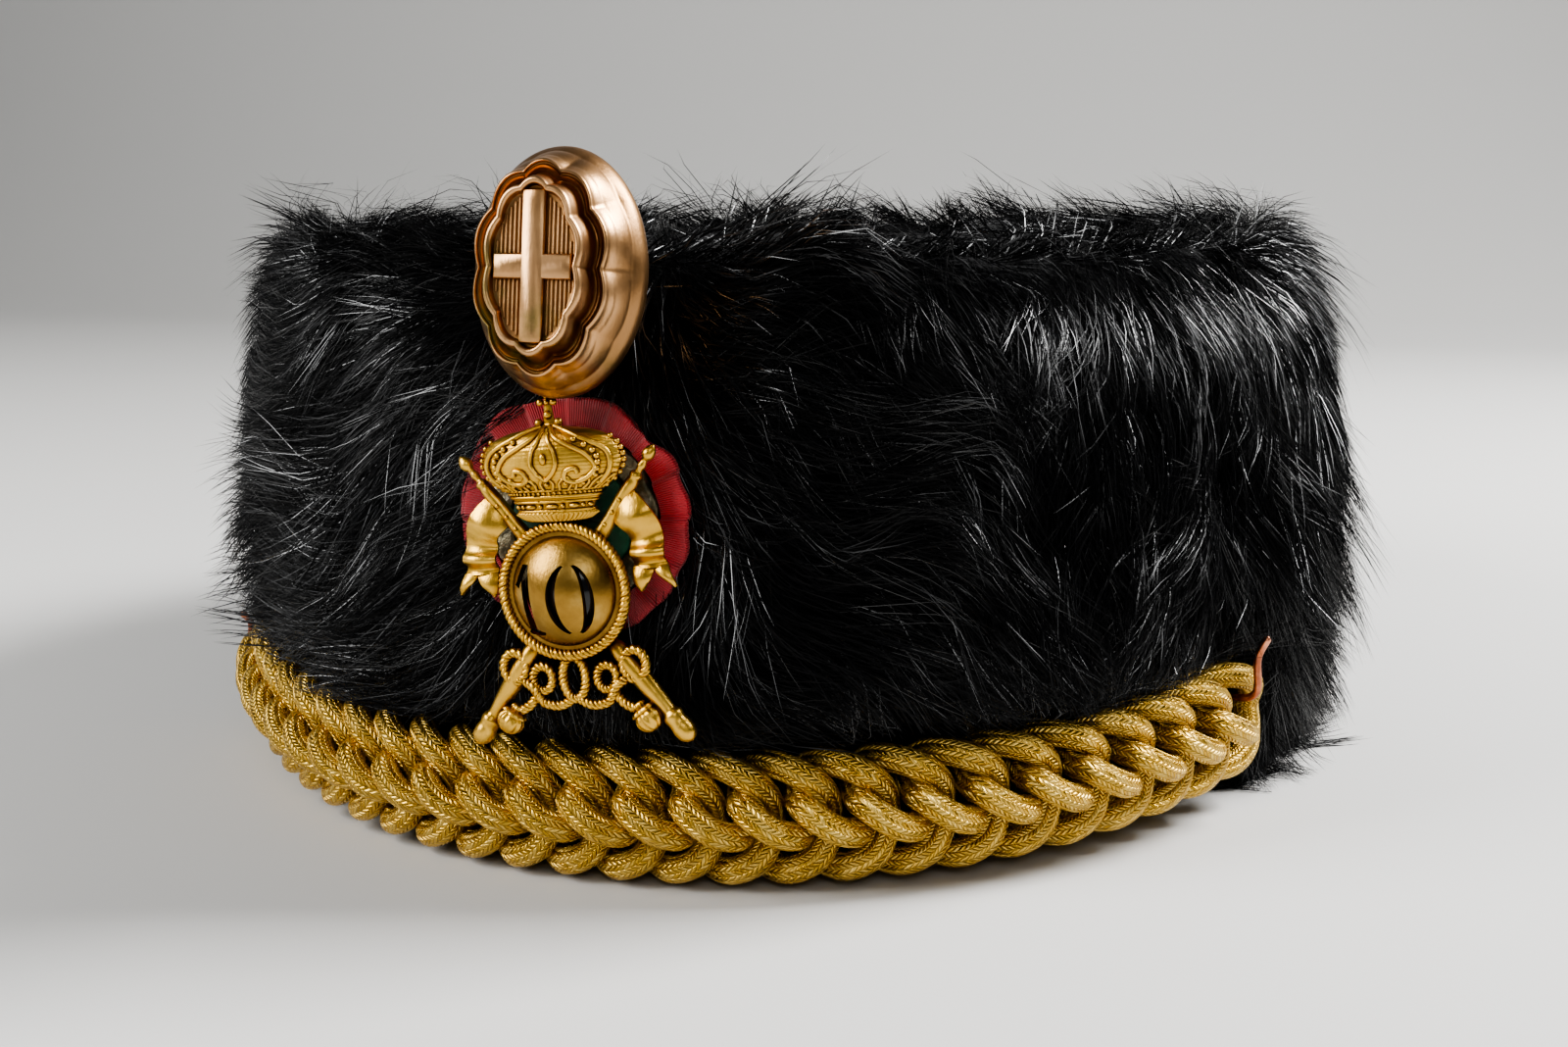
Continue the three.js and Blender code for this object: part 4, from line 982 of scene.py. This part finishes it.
# %% Crown
CROWN = [  # up: share of its rise, out: share of its half width
    (0.0, 1e-4), (0.0, 0.42), (0.03, 0.5), (0.06, 0.58), (0.078, 0.57), (0.09, 0.53),
    (0.15, 0.56), (0.17, 0.61), (0.21, 0.63), (0.25, 0.68), (0.29, 0.78), (0.33, 0.89),
    (0.39, 0.97), (0.45, 1.0), (0.51, 0.99), (0.57, 0.96), (0.61, 0.91), (0.65, 0.82),
    (0.68, 0.7), (0.705, 0.56), (0.72, 0.4), (0.73, 0.28), (0.745, 0.15), (0.76, 0.09),
    (0.86, 0.06), (0.96, 0.045), (0.965, 1e-4),
]
CROWN_FOOT = DISC_RADIUS + ROPE_THICKNESS - 0.1
crown_line = np.array(CROWN)


def on_crown(up, turn, lift=0.0):
    a = np.radians(turn)
    out = np.interp(up, crown_line[:, 0], crown_line[:, 1]) * CROWN_WIDTH + lift
    return np.stack(np.broadcast_arrays(
        out * np.sin(a), CROWN_FOOT + np.asarray(up) * CROWN_RISE,
        out * np.cos(a) * CROWN_DEPTH + lift * 0.6), -1)


def crown_relief(points, angle, radius):
    """Reeds on the foot and fine level lines on the cap."""
    up = (points[..., 1] - CROWN_FOOT) / CROWN_RISE
    reeds = 0.32 * np.cos(50 * angle) * (smooth_step(0.0, 0.02, up) - smooth_step(0.055, 0.075, up))
    lines = 0.09 * np.sin(up * CROWN_RISE * 2 * math.pi / 0.62) * (
        smooth_step(0.3, 0.33, up) - smooth_step(0.62, 0.66, up))
    swell = 1 + (reeds + lines) / np.maximum(radius, 1)
    return points * np.stack([swell, np.ones_like(swell), swell], -1)


rows = evenly(np.array([(out * CROWN_WIDTH, CROWN_FOOT + up * CROWN_RISE) for up, out in CROWN]),
              0.22)[0]
front = np.linspace(-math.pi / 2, math.pi / 2, 201)
round_the_back = np.linspace(math.pi / 2, 1.5 * math.pi, 22)[1:-1]
lathe(badge_shape, rows, np.concatenate([front, round_the_back]), squash=CROWN_DEPTH, axis="y",
      change=crown_relief)
for up, thick in ((0.088, 0.4), (0.16, 0.4), (0.2, 0.5), (0.25, 0.3)):
    turns_across = np.linspace(-100, 100, 21)
    cord(badge_shape, on_crown(up, turns_across, 0.05), thick / 2 + 0.08, sides=8, step=0.4)
for turn in np.linspace(-80, 80, 25):
    ball(badge_shape, on_crown(0.228, turn, 0.08), 0.32, rows=5, sides=8)
for i, turn in enumerate(np.linspace(-66, 66, 9)):
    x, y, z = on_crown(0.124, turn, 0.15)
    if i % 2:
        ball(badge_shape, (x, y, z), 0.42, rows=6, sides=10)
    else:
        ball(badge_shape, (x, y, z), 1.0, (1.05 * math.cos(math.radians(turn)) + 0.15, 0.42, 0.5),
             rows=6, sides=10)
for turn in np.linspace(-74, 74, 9):
    leaf = [on_crown(up, turn + sway, 0.05) for up, sway in (
        (0.255, -5), (0.31, -6), (0.35, 0), (0.31, 6), (0.255, 5))]
    cord(badge_shape, leaf, 0.3, sides=8, step=0.3)
    ball(badge_shape, on_crown(0.3, turn, 0.15), 0.45, rows=5, sides=8)
for turn in (-60, 60):
    cord(badge_shape, [on_crown(up, turn * (1 - 0.5 * smooth_step(0.5, 0.72, up)), 0.1)
                       for up in (0.3, 0.38, 0.46, 0.54, 0.61, 0.66, 0.7, 0.74)],
         0.5, sides=10, step=0.3)
    for up in np.linspace(0.36, 0.64, 7):
        ball(badge_shape, on_crown(up, turn * 0.76 * (1 - 0.5 * smooth_step(0.5, 0.72, up)), 0.2),
             0.55, rows=6, sides=8)
for side in (-1, 1):
    cord(badge_shape, [on_crown(up, side * turn, 0.12) for up, turn in (
        (0.74, 10), (0.66, 12), (0.6, 22), (0.52, 36), (0.42, 44), (0.34, 38), (0.31, 26),
        (0.345, 17), (0.4, 18), (0.415, 26), (0.38, 28))], 0.45, sides=10, step=0.25)
    cord(badge_shape, [on_crown(up, side * turn, 0.12) for up, turn in (
        (0.72, 4), (0.64, 5), (0.56, 9), (0.46, 10), (0.38, 6), (0.33, 0))],
         0.4, sides=8, step=0.25)
    for up in np.linspace(0.27, 0.64, 9):
        ball(badge_shape, on_crown(up, side * 86, 0.1), 0.52, rows=6, sides=8)
    ball(badge_shape, (side * 1.7, CROWN_FOOT + 0.77 * CROWN_RISE, 0.3), 0.72)
    ball(badge_shape, (side * 1.15, CROWN_FOOT + 0.93 * CROWN_RISE, 0.3), 0.62)
ball(badge_shape, on_crown(0.5, 0, 0.1), 0.75, (0.8, 1.3, 0.6))
ball(badge_shape, (0, CROWN_FOOT + 0.83 * CROWN_RISE, 0.3), 0.75)
ball(badge_shape, (0, CROWN_FOOT + 0.93 * CROWN_RISE, 0.35), 0.5)
ball(badge_shape, (0, CROWN_FOOT + 0.985 * CROWN_RISE, 0.3), 0.62)
badge = badge_shape.place(BADGE).make("badge_relief", badge_gilt, crease=45)
for piece in (badge, dome):
    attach(piece, "root")
    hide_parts("lance_badge")

# %% [markdown]
# ## Boss
# The oval boss is stamped in steps: a smooth outer swell, then two scalloped mouldings and
# a reeded field with a cross. It is one turned profile whose radius is scalloped more and
# more towards the middle, stretched upright. The cross and reeds are laid on it.

# %% Boss
BOSS_ROWS = [  # out: share of the half width, at: share of the depth, lobed: how scalloped
    (1e-4, -0.74, 0), (0.5, -0.74, 0), (0.6, -0.68, 0), (0.74, -0.5, 0), (0.86, -0.3, 0),
    (0.96, -0.12, 0), (1.0, 0.02, 0), (0.985, 0.13, 0), (0.95, 0.21, 0.05), (0.925, 0.255, 0.15),
    (0.915, 0.27, 0.2), (0.9, 0.33, 0.3), (0.87, 0.42, 0.45), (0.84, 0.49, 0.6),
    (0.825, 0.52, 0.7), (0.81, 0.57, 0.85), (0.79, 0.62, 0.95), (0.775, 0.67, 1),
    (0.768, 0.72, 1), (0.757, 0.745, 1), (0.742, 0.75, 1), (0.73, 0.735, 1), (0.722, 0.7, 1),
    (0.712, 0.7, 1), (0.703, 0.735, 1), (0.69, 0.745, 1), (0.678, 0.735, 1), (0.668, 0.7, 1),
    (0.65, 0.675, 1), (0.63, 0.68, 1), (0.612, 0.72, 1), (0.59, 0.81, 1), (0.575, 0.88, 1),
    (0.565, 0.95, 1), (0.552, 0.985, 1), (0.53, 1.0, 1), (0.505, 1.0, 1), (0.488, 0.98, 1),
    (0.476, 0.94, 0.95), (0.466, 0.905, 0.9), (0.44, 0.9, 0.8), (0.3, 0.9, 0.3), (1e-4, 0.9, 0),
]
boss_line = np.array(BOSS_ROWS)
rows = curve_through(boss_line * [BOSS_HALF_WIDTH, BOSS_DEPTH, 3.0], 0.3)[0]
rows[:, 0] = np.maximum(rows[:, 0], ON_AXIS)
stretch = BOSS_HALF_HEIGHT - BOSS_HALF_WIDTH


def scalloped(points, angle, radius):
    lobed = rows[:, 2:3] / 3.0
    scallop = np.abs(np.cos(BOSS_LOBES * angle / 2))
    out = radius * (1 + LOBE_DEPTH * lobed * (scallop * 1.6 - 1.1))
    tall = out + stretch * np.minimum(1, radius / (0.4 * BOSS_HALF_WIDTH))
    return np.stack([out * np.sin(angle), tall * np.cos(angle), points[..., 2]], -1)


boss_shape = Shape()
lathe(boss_shape, rows[:, :2], 220, change=scalloped)
field = 0.9 * BOSS_DEPTH
wide, tall = 0.45 * BOSS_HALF_WIDTH, 0.45 * BOSS_HALF_WIDTH + stretch


def bar(shape, half_x, half_y, top, bevel=0.3):
    """A raised bar with a bevelled edge, as a grid of nested rectangles."""
    rings, most = [], min(half_x, half_y) * 0.96
    for inset, z in ((0, field - 0.6), (0, top - bevel), (bevel, top), (most, top)):
        x, y = half_x - inset, half_y - inset
        rings.append([(x, y, z), (-x, y, z), (-x, -y, z), (x, -y, z)])
    shape.grid(np.array(rings, float), around=True, lids=True)


top = field + CROSS_RISE * 0.7
half_bar = CROSS_ARM / 2 + 0.5
bar(boss_shape, half_bar, tall - 0.1, top)
bar(boss_shape, wide - 0.05, half_bar, top - 0.004)
for side in (-1, 1):
    for share in np.linspace(0.38, 0.93, 6):
        reach = tall * math.sqrt(1 - share * share) - 0.5
        for end in (-1, 1):
            if reach > half_bar + 0.65:
                x = side * share * wide
                cord(boss_shape, [(x, end * half_bar, field), (x, end * reach, field)],
                     0.24, sides=8, step=1.0)
boss = boss_shape.place(BOSS).make("oval_boss", boss_metal, crease=50)
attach(boss, "root")
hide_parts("boss")

# %% [markdown]
# ## Where the fur gives way
# The fur stands out from the body to a rounded outline, and is pressed flat where cord,
# cockade, badge and boss lie on it. One function does the pressing, for the woolly
# underfur and for each point of each hair, so both stay clear of the hard pieces.

# %% Fur outline and pressing
PILE = [(0.0, 0.9), (0.16, 0.97), (0.36, 1.0), (0.58, 0.98), (0.74, 0.9), (0.86, 0.76),
        (0.94, 0.58), (1.0, 0.3)]  # up: share of the fur's height, out: share of its pile
fur_rows = [(out * FUR_PILE + BODY_FLARE * up * 0.5, FUR_FOOT + (FUR_TOP - FUR_FOOT) * up)
            for up, out in PILE]
fur_rows += [(BODY_FLARE - FUR_ROLL * 0.45, FUR_TOP - 0.5),
             (BODY_FLARE - FUR_ROLL, BODY_HEIGHT + CROWN_THICKNESS + 1.6)]
fur_line, fur_gone = curve_through(fur_rows, 0.5)
FUR_LENGTH = float(fur_gone[-1])
fur_ahead = np.gradient(fur_line, fur_gone, axis=0)
fur_ahead /= np.linalg.norm(fur_ahead, axis=1)[:, None]
LOWEST_STRAND = -1.98 * PLAIT_SPACING - CORD_THICKNESS / 2
BADGE_HALF_WIDE, BADGE_WIDENS, BADGE_HALF_TALL = 12.5, 0.32, 29  # room for crown and lances


def on_fur(share, lift):
    """Out and height of a point of the fur, lift mm above its outline."""
    gone = np.clip(share, 0, 1) * FUR_LENGTH
    out = np.interp(gone, fur_gone, fur_line[:, 0])
    up = np.interp(gone, fur_gone, fur_line[:, 1])
    ahead_out = np.interp(gone, fur_gone, fur_ahead[:, 0])
    ahead_up = np.interp(gone, fur_gone, fur_ahead[:, 1])
    over = share * FUR_LENGTH - gone
    return out + ahead_up * lift + ahead_out * over, up - ahead_out * lift + ahead_up * over


def behind_badge(points, slack):
    """Points kept behind the cockade and the badge."""
    local = seen_from(points, BADGE)
    x, y, z = local[..., 0], local[..., 1], local[..., 2]
    from_centre = np.hypot(x - 1.2, y - COCKADE_CENTRE + 0.8)
    behind = -COCKADE_SET_BACK - 1.9 - slack + 16 * smooth_step(
        COCKADE_RADIUS - 1.5, COCKADE_RADIUS + 4.5, from_centre)
    z = np.minimum(z, behind)
    wide = BADGE_HALF_WIDE + BADGE_WIDENS * np.abs(y)
    from_badge = np.maximum(np.abs(x) / wide, np.abs(y + 2) / BADGE_HALF_TALL)
    z = np.minimum(z, -2.9 - slack + 16 * smooth_step(0.98, 1.28, from_badge))
    return placed(np.stack([x, y, z], -1), BADGE)


def round_boss(points):
    """Points pushed out past the side of the boss, or behind it where they are near its axis."""
    local = seen_from(points, BOSS)
    x, y, z = local[..., 0], local[..., 1], local[..., 2]
    radius = np.hypot(x / (BOSS_HALF_WIDTH + 0.9), y / (BOSS_HALF_HEIGHT + 0.9)) + 1e-6
    deep = np.clip((z + BOSS_BACK + 1) / BOSS_BACK, 0, 1)
    least = 0.6 + 0.42 * deep
    inside = (radius < least) & (z > -BOSS_BACK - 1)
    push = np.where(inside & (radius > 0.5), least / radius, 1.0)
    z = np.where(inside & (radius <= 0.5), -BOSS_BACK - 1.2, z)
    return placed(np.stack([x * push, y * push, z], -1), BOSS)


def pressed(turn, out, up, slack=0.0):
    """The point on the hat, moved behind whatever hard piece lies on the fur there."""
    off = np.clip(np.abs(turn) / BRAID_END, 0, 2)
    above = up - (braid_height(turn) - LOWEST_STRAND + 0.3)
    hull = BRAID_STANDOFF - 1.29 * PLAIT_SPACING - CORD_THICKNESS / 2 - 0.9 - slack
    room = hull + 14 * smooth_step(-0.3, 1.3, above) + 40 * smooth_step(0.99, 1.1, off)
    out = np.minimum(out, np.where(above < 1.3, room, 1e3))
    points = round_boss(behind_badge(on_oval(turn, out, up), slack))
    on_top = (out < BODY_FLARE) & (up > BODY_HEIGHT - 5)
    least = np.where(on_top, BODY_HEIGHT + GAP + CROWN_THICKNESS + 0.4, 0.4)
    points[..., 2] = np.maximum(points[..., 2], least)
    return points


print("the fur's outline is", round(FUR_LENGTH), "mm from its lower edge to the top")

# %% [markdown]
# ## Underfur
# Between the long hairs one sees the short dark wool they grow from. A closed sleeve a few
# millimetres under the hair tips stands for it, nearly black and rough.

# %% Underfur
wool, tree, shader = new_material("Underfur", (0.006, 0.006, 0.007), 0.9)
nap = add(tree, "TexNoise", Vector=on_object(tree), Scale=900.0, Detail=3.0)
feed(shader.inputs["Base Color"], colours(tree, nap.outputs[0], [
    (0.35, (0.0015, 0.0015, 0.0018)), (0.75, (0.006, 0.0055, 0.006))]))
shader.inputs["Specular IOR Level"].default_value = 0.15
raise_by(tree, shader, nap.outputs[0], 0.0012)

UNDER = 5.0  # how far the wool lies under the hair's outline, mm
turn_ring = np.linspace(-math.pi, math.pi, 240, endpoint=False)[None]
shares = np.linspace(0, 1, 64)[:, None]
depth = UNDER * smooth_step(-0.02, 0.05, shares) * (1 - 0.9 * smooth_step(0.93, 1.0, shares))
out, up = on_fur(shares + 0 * turn_ring, -depth)
outside = pressed(turn_ring + 0 * shares, out, up, slack=0.6)
rest = BODY_HEIGHT + GAP + CROWN_THICKNESS + 0.7
inner = np.array([(BODY_FLARE - FUR_ROLL, rest), (BODY_FLARE + 0.7, rest),
                  (BODY_FLARE + 0.7, BODY_HEIGHT), (0.7, FUR_FOOT)])
inside = on_oval(turn_ring, inner[:, :1], inner[:, 1:2])
sleeve_points = np.concatenate([outside, inside, outside[:1]])
underfur = Shape().grid(sleeve_points, around=True).make("underfur", wool, crease=0)

# %% [markdown]
# ## Long hair
# Guard hairs lie over each other like thatch, in wisps. Real strands can't be
# kept in the model, so each hair is a thin tapering ribbon of three steps, all made at
# once from arrays. A hair starts in the wool, follows the way the fur is brushed, and
# lifts towards its tip. Hairs of one wisp share a direction and draw together.

# %% Which way the fur is brushed
FLOW = [  # turn round from the front in degrees, along: to the viewer's right, up
    (-180, 0.0, -1.0), (-130, -0.3, -0.95), (-100, -0.55, -0.85), (-75, -0.85, -0.5),
    (-45, -0.92, -0.42), (-15, -0.85, -0.5), (-3, -0.3, -0.9), (5, 0.3, -0.9),
    (14, 0.85, -0.45), (25, 0.75, -0.6), (38, 0.05, -0.95), (52, -0.45, -0.85),
    (66, -0.25, -0.95), (82, 0.25, -0.95), (100, 0.5, -0.85), (130, 0.3, -0.95),
    (180, 0.0, -1.0),
]
LOFT = np.array([  # share of the way up the fur, how far the tips stand off
    (0.0, 1.3), (0.2, 1.5), (0.45, 1.3), (0.6, 0.6), (0.7, 0.4), (0.8, 1.2), (0.9, 1.7),
    (1.0, 1.2),
])
HAIR_STEPS = np.array([0.0, 0.4, 0.74, 1.0])  # share of its length at each row of a hair


def brushed(turn, share):
    """Unit direction along and up, with the cowlicks of real fur."""
    flow = table_at(FLOW, np.degrees((turn + math.pi) % (2 * math.pi) - math.pi))
    along, up = flow[..., 0], flow[..., 1]
    a = np.arctan2(up, along)
    a = a + 0.35 * np.sin(9 * turn + 6 * share + 1.3) + 0.25 * np.sin(17 * turn - 11 * share)
    below = 1 - smooth_step(0.1, 0.42, share)
    a = a + below * 0.3 * np.sin(5 * turn + 0.6)
    over_the_top = smooth_step(0.82, 0.92, share)
    a = a * (1 - over_the_top) + over_the_top * (math.pi / 2 + 0.5 * np.sin(11 * turn))
    return np.cos(a), np.sin(a)


def ribbons(seed, wisps, hairs, length, width):
    """Points of every hair: (hair, step, place) for its middle line, and its two edges."""
    rng = np.random.default_rng(seed)
    count = wisps * hairs
    guide_t = np.linspace(-math.pi, math.pi, 721)
    far = gone_along(on_oval(guide_t, FUR_PILE, 0.0))
    wisp_turn = np.interp(rng.random(wisps) * far[-1], far, guide_t)
    wisp_share = rng.random(wisps) ** 0.95
    round_about = far[-1] / (2 * math.pi)
    spread = np.abs(rng.normal(0, 1, (wisps, 1))) * 0.6 + 2.1
    off = rng.normal(0, 1, (wisps, hairs, 2)) * spread[..., None]
    turn = wisp_turn[:, None] + off[..., 0] / round_about
    share = np.clip(wisp_share[:, None] + off[..., 1] / FUR_LENGTH, 0.004, 1.0)
    own = rng.normal(0, 0.32, (wisps, 1)) + rng.normal(0, 0.13, (wisps, hairs))
    tall = length * (1 + rng.normal(0, 0.2, (wisps, 1))) * rng.uniform(0.7, 1.12, (wisps, hairs))
    lift_tip = rng.gamma(2.2, 1.25, (wisps, 1)) + rng.normal(0, 0.9, (wisps, hairs))
    lift_tip = lift_tip * np.interp(share, LOFT[:, 0], LOFT[:, 1])
    bend = rng.normal(0, 0.22, (wisps, 1)) + rng.normal(0, 0.1, (wisps, hairs))
    draw = rng.uniform(0.25, 0.6, (wisps, 1))
    points = []
    for i, q in enumerate(HAIR_STEPS):
        if i:
            step = q - HAIR_STEPS[i - 1]
            along, up = brushed(turn, share)
            a = np.arctan2(up, along) + own + bend * q
            reach = tall * step
            turn = turn + np.cos(a) * reach / round_about
            share = share + np.sin(a) * reach / FUR_LENGTH
            pull = draw * step
            turn = turn + pull * (turn.mean(1, keepdims=True) - turn)
            share = share + pull * (share.mean(1, keepdims=True) - share)
        lift = -UNDER - 0.6 + (UNDER + 0.6 + lift_tip) * q**0.8
        out, height = on_fur(share, lift)
        points.append(pressed(turn, out, height, slack=rng.uniform(0, 1.2, out.shape)))
    line = np.stack(points, 2).reshape(count, 4, 3)
    ahead = np.gradient(line, axis=1)
    ahead /= np.linalg.norm(ahead, axis=2)[..., None] + 1e-9
    outward = line * [1, 1, 0]
    outward /= np.linalg.norm(outward, axis=2)[..., None] + 1e-9
    side = np.cross(ahead, outward)
    side /= np.linalg.norm(side, axis=2)[..., None] + 1e-9
    roll = rng.normal(0, 0.6, (count, 1, 1))
    side = side * np.cos(roll) + np.cross(ahead, side) * np.sin(roll)
    thick = width * rng.uniform(0.75, 1.25, (count, 1, 1)) / 2
    taper = np.array([0.9, 1.0, 0.72])[None, :, None]
    return line, side[:, :3] * thick * taper


def hair_piece(name, seed, wisps, hairs, length, width, material):
    line, edge = ribbons(seed, wisps, hairs, length, width)
    count = len(line)
    points = np.concatenate([line[:, :3] - edge, line[:, :3] + edge, line[:, 3:]], 1)
    base = np.arange(count)[:, None, None] * 7
    pattern = np.array([[0, 3, 4], [0, 4, 1], [1, 4, 5], [1, 5, 2], [2, 5, 6]])
    place_u = np.array([0, 0, 0, 1, 1, 1, 0.5])
    place_v = np.concatenate([HAIR_STEPS[:3], HAIR_STEPS])
    corner = np.stack([place_u[pattern], place_v[pattern]], -1)
    shape = Shape()
    shape.points = [points.reshape(-1, 3)]
    shape.triangles = [(base + pattern).reshape(-1, 3)]
    shape.corners = [np.broadcast_to(corner, (count, 5, 3, 2)).reshape(-1, 3, 2)]
    piece = shape.make(name, material, crease=0, weld=False)
    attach(piece, "root")
    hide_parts("fur")


# %% [markdown]
# Hair shines across its length, not along it: a strand is a tiny cylinder. The anisotropy
# of the shader, with the tangent taken from the ribbon's own U, gives that gleam. Three
# coats are dull and nearly black. The fourth is finer and glossy, for the bright strands.

# %% Hair material
def hair_material(name, rough, shine):
    material, tree, shader = new_material(name, (0.0022, 0.0021, 0.0024), rough)
    shader.inputs["Anisotropic"].default_value = 0.85
    shader.inputs["Specular IOR Level"].default_value = shine
    tangent = tree.nodes.new("ShaderNodeTangent")
    tangent.direction_type, tangent.uv_map = "UV_MAP", "Flat"
    feed(shader.inputs["Tangent"], tangent.outputs[0])
    return material


dull_hair = hair_material("Soft black hair", 0.3, 0.14)
bright_hair = hair_material("Glossy guard hair", 0.2, 0.8)
for letter, seed, width, material in (("a", 11, 0.2, dull_hair), ("b", 12, 0.2, dull_hair),
                                      ("c", 13, 0.2, dull_hair), ("d", 14, 0.13, bright_hair)):
    hair_piece("guard_hair_" + letter, seed, 1300, 22, 25,
               width, material)
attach(underfur, "root")
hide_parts("fur")

# %% [markdown]
# ## Floor, light and camera
# A plain pale floor curves up behind the hat. Large soft lamps stand left and high right,
# as in the photograph: the left one models the gold, the right one from behind draws the
# gleams along the fur's edge. A weak one in front lifts the shadows. The camera's place
# was fitted to the photograph's oval.

# %% Floor
floor_material, tree, shader = new_material("Pale floor", (0.62, 0.61, 0.59), 0.75)
NEAR, FAR, BEND, HALF_WIDE, TOP = -1.6, 1.0, 0.6, 2.6, 2.6  # metres
floor_rows = [(NEAR, 0.0), (FAR, 0.0)]
floor_rows += [(FAR + BEND * math.sin(a), BEND - BEND * math.cos(a))
               for a in np.radians(np.arange(10, 91, 10))]
floor_rows += [(FAR + BEND, TOP)]
floor_points = np.array([[(x, y, z) for x in np.linspace(-HALF_WIDE, HALF_WIDE, 9)]
                         for y, z in floor_rows])
floor = Shape().grid(floor_points * 1000).make("floor", floor_material, crease=0)

# %% Lights
def lamp(name, place, aim, width, height, power):
    """A rectangular lamp of width by height metres, aimed at a point."""
    light = bpy.data.lights.new(name, "AREA")
    light.shape, light.size, light.size_y = "RECTANGLE", width, height
    light.energy = power
    made = bpy.data.objects.new(name, light)
    bpy.context.scene.collection.objects.link(made)
    made.location = place
    made.rotation_euler = (Vector(aim) - Vector(place)).to_track_quat("-Z", "Y").to_euler()


lamp("Left soft box", (-0.95, -0.75, 0.75), (0, 0, 0.06), 0.6, 0.8, 20)
lamp("High right", (0.75, 0.35, 0.85), (0, 0, 0.06), 0.45, 0.45, 32)
lamp("Front fill", (0.5, -1.3, 0.9), (0, 0, 0.05), 0.7, 0.5, 3)
world = bpy.data.worlds.new("Studio")
bpy.context.scene.world = world
bpy.context.scene.view_settings.look = "AgX - Medium High Contrast"
world.use_nodes = True
world.node_tree.nodes["Background"].inputs["Color"].default_value = (0.9, 0.95, 1, 1)
world.node_tree.nodes["Background"].inputs["Strength"].default_value = 0.12

# %% Camera
camera_data = bpy.data.cameras.new("Camera")
camera_data.sensor_width, camera_data.lens = 36, 42.65
camera = bpy.data.objects.new("Camera", camera_data)
bpy.context.scene.collection.objects.link(camera)
camera.location = Vector((0.1190, -0.4133, 0.118)) + Vector(HAT_AXIS)
camera.rotation_euler = Vector((-0.2825, 0.9417, -0.1827)).to_track_quat("-Z", "Y").to_euler()
bpy.context.scene.camera = camera
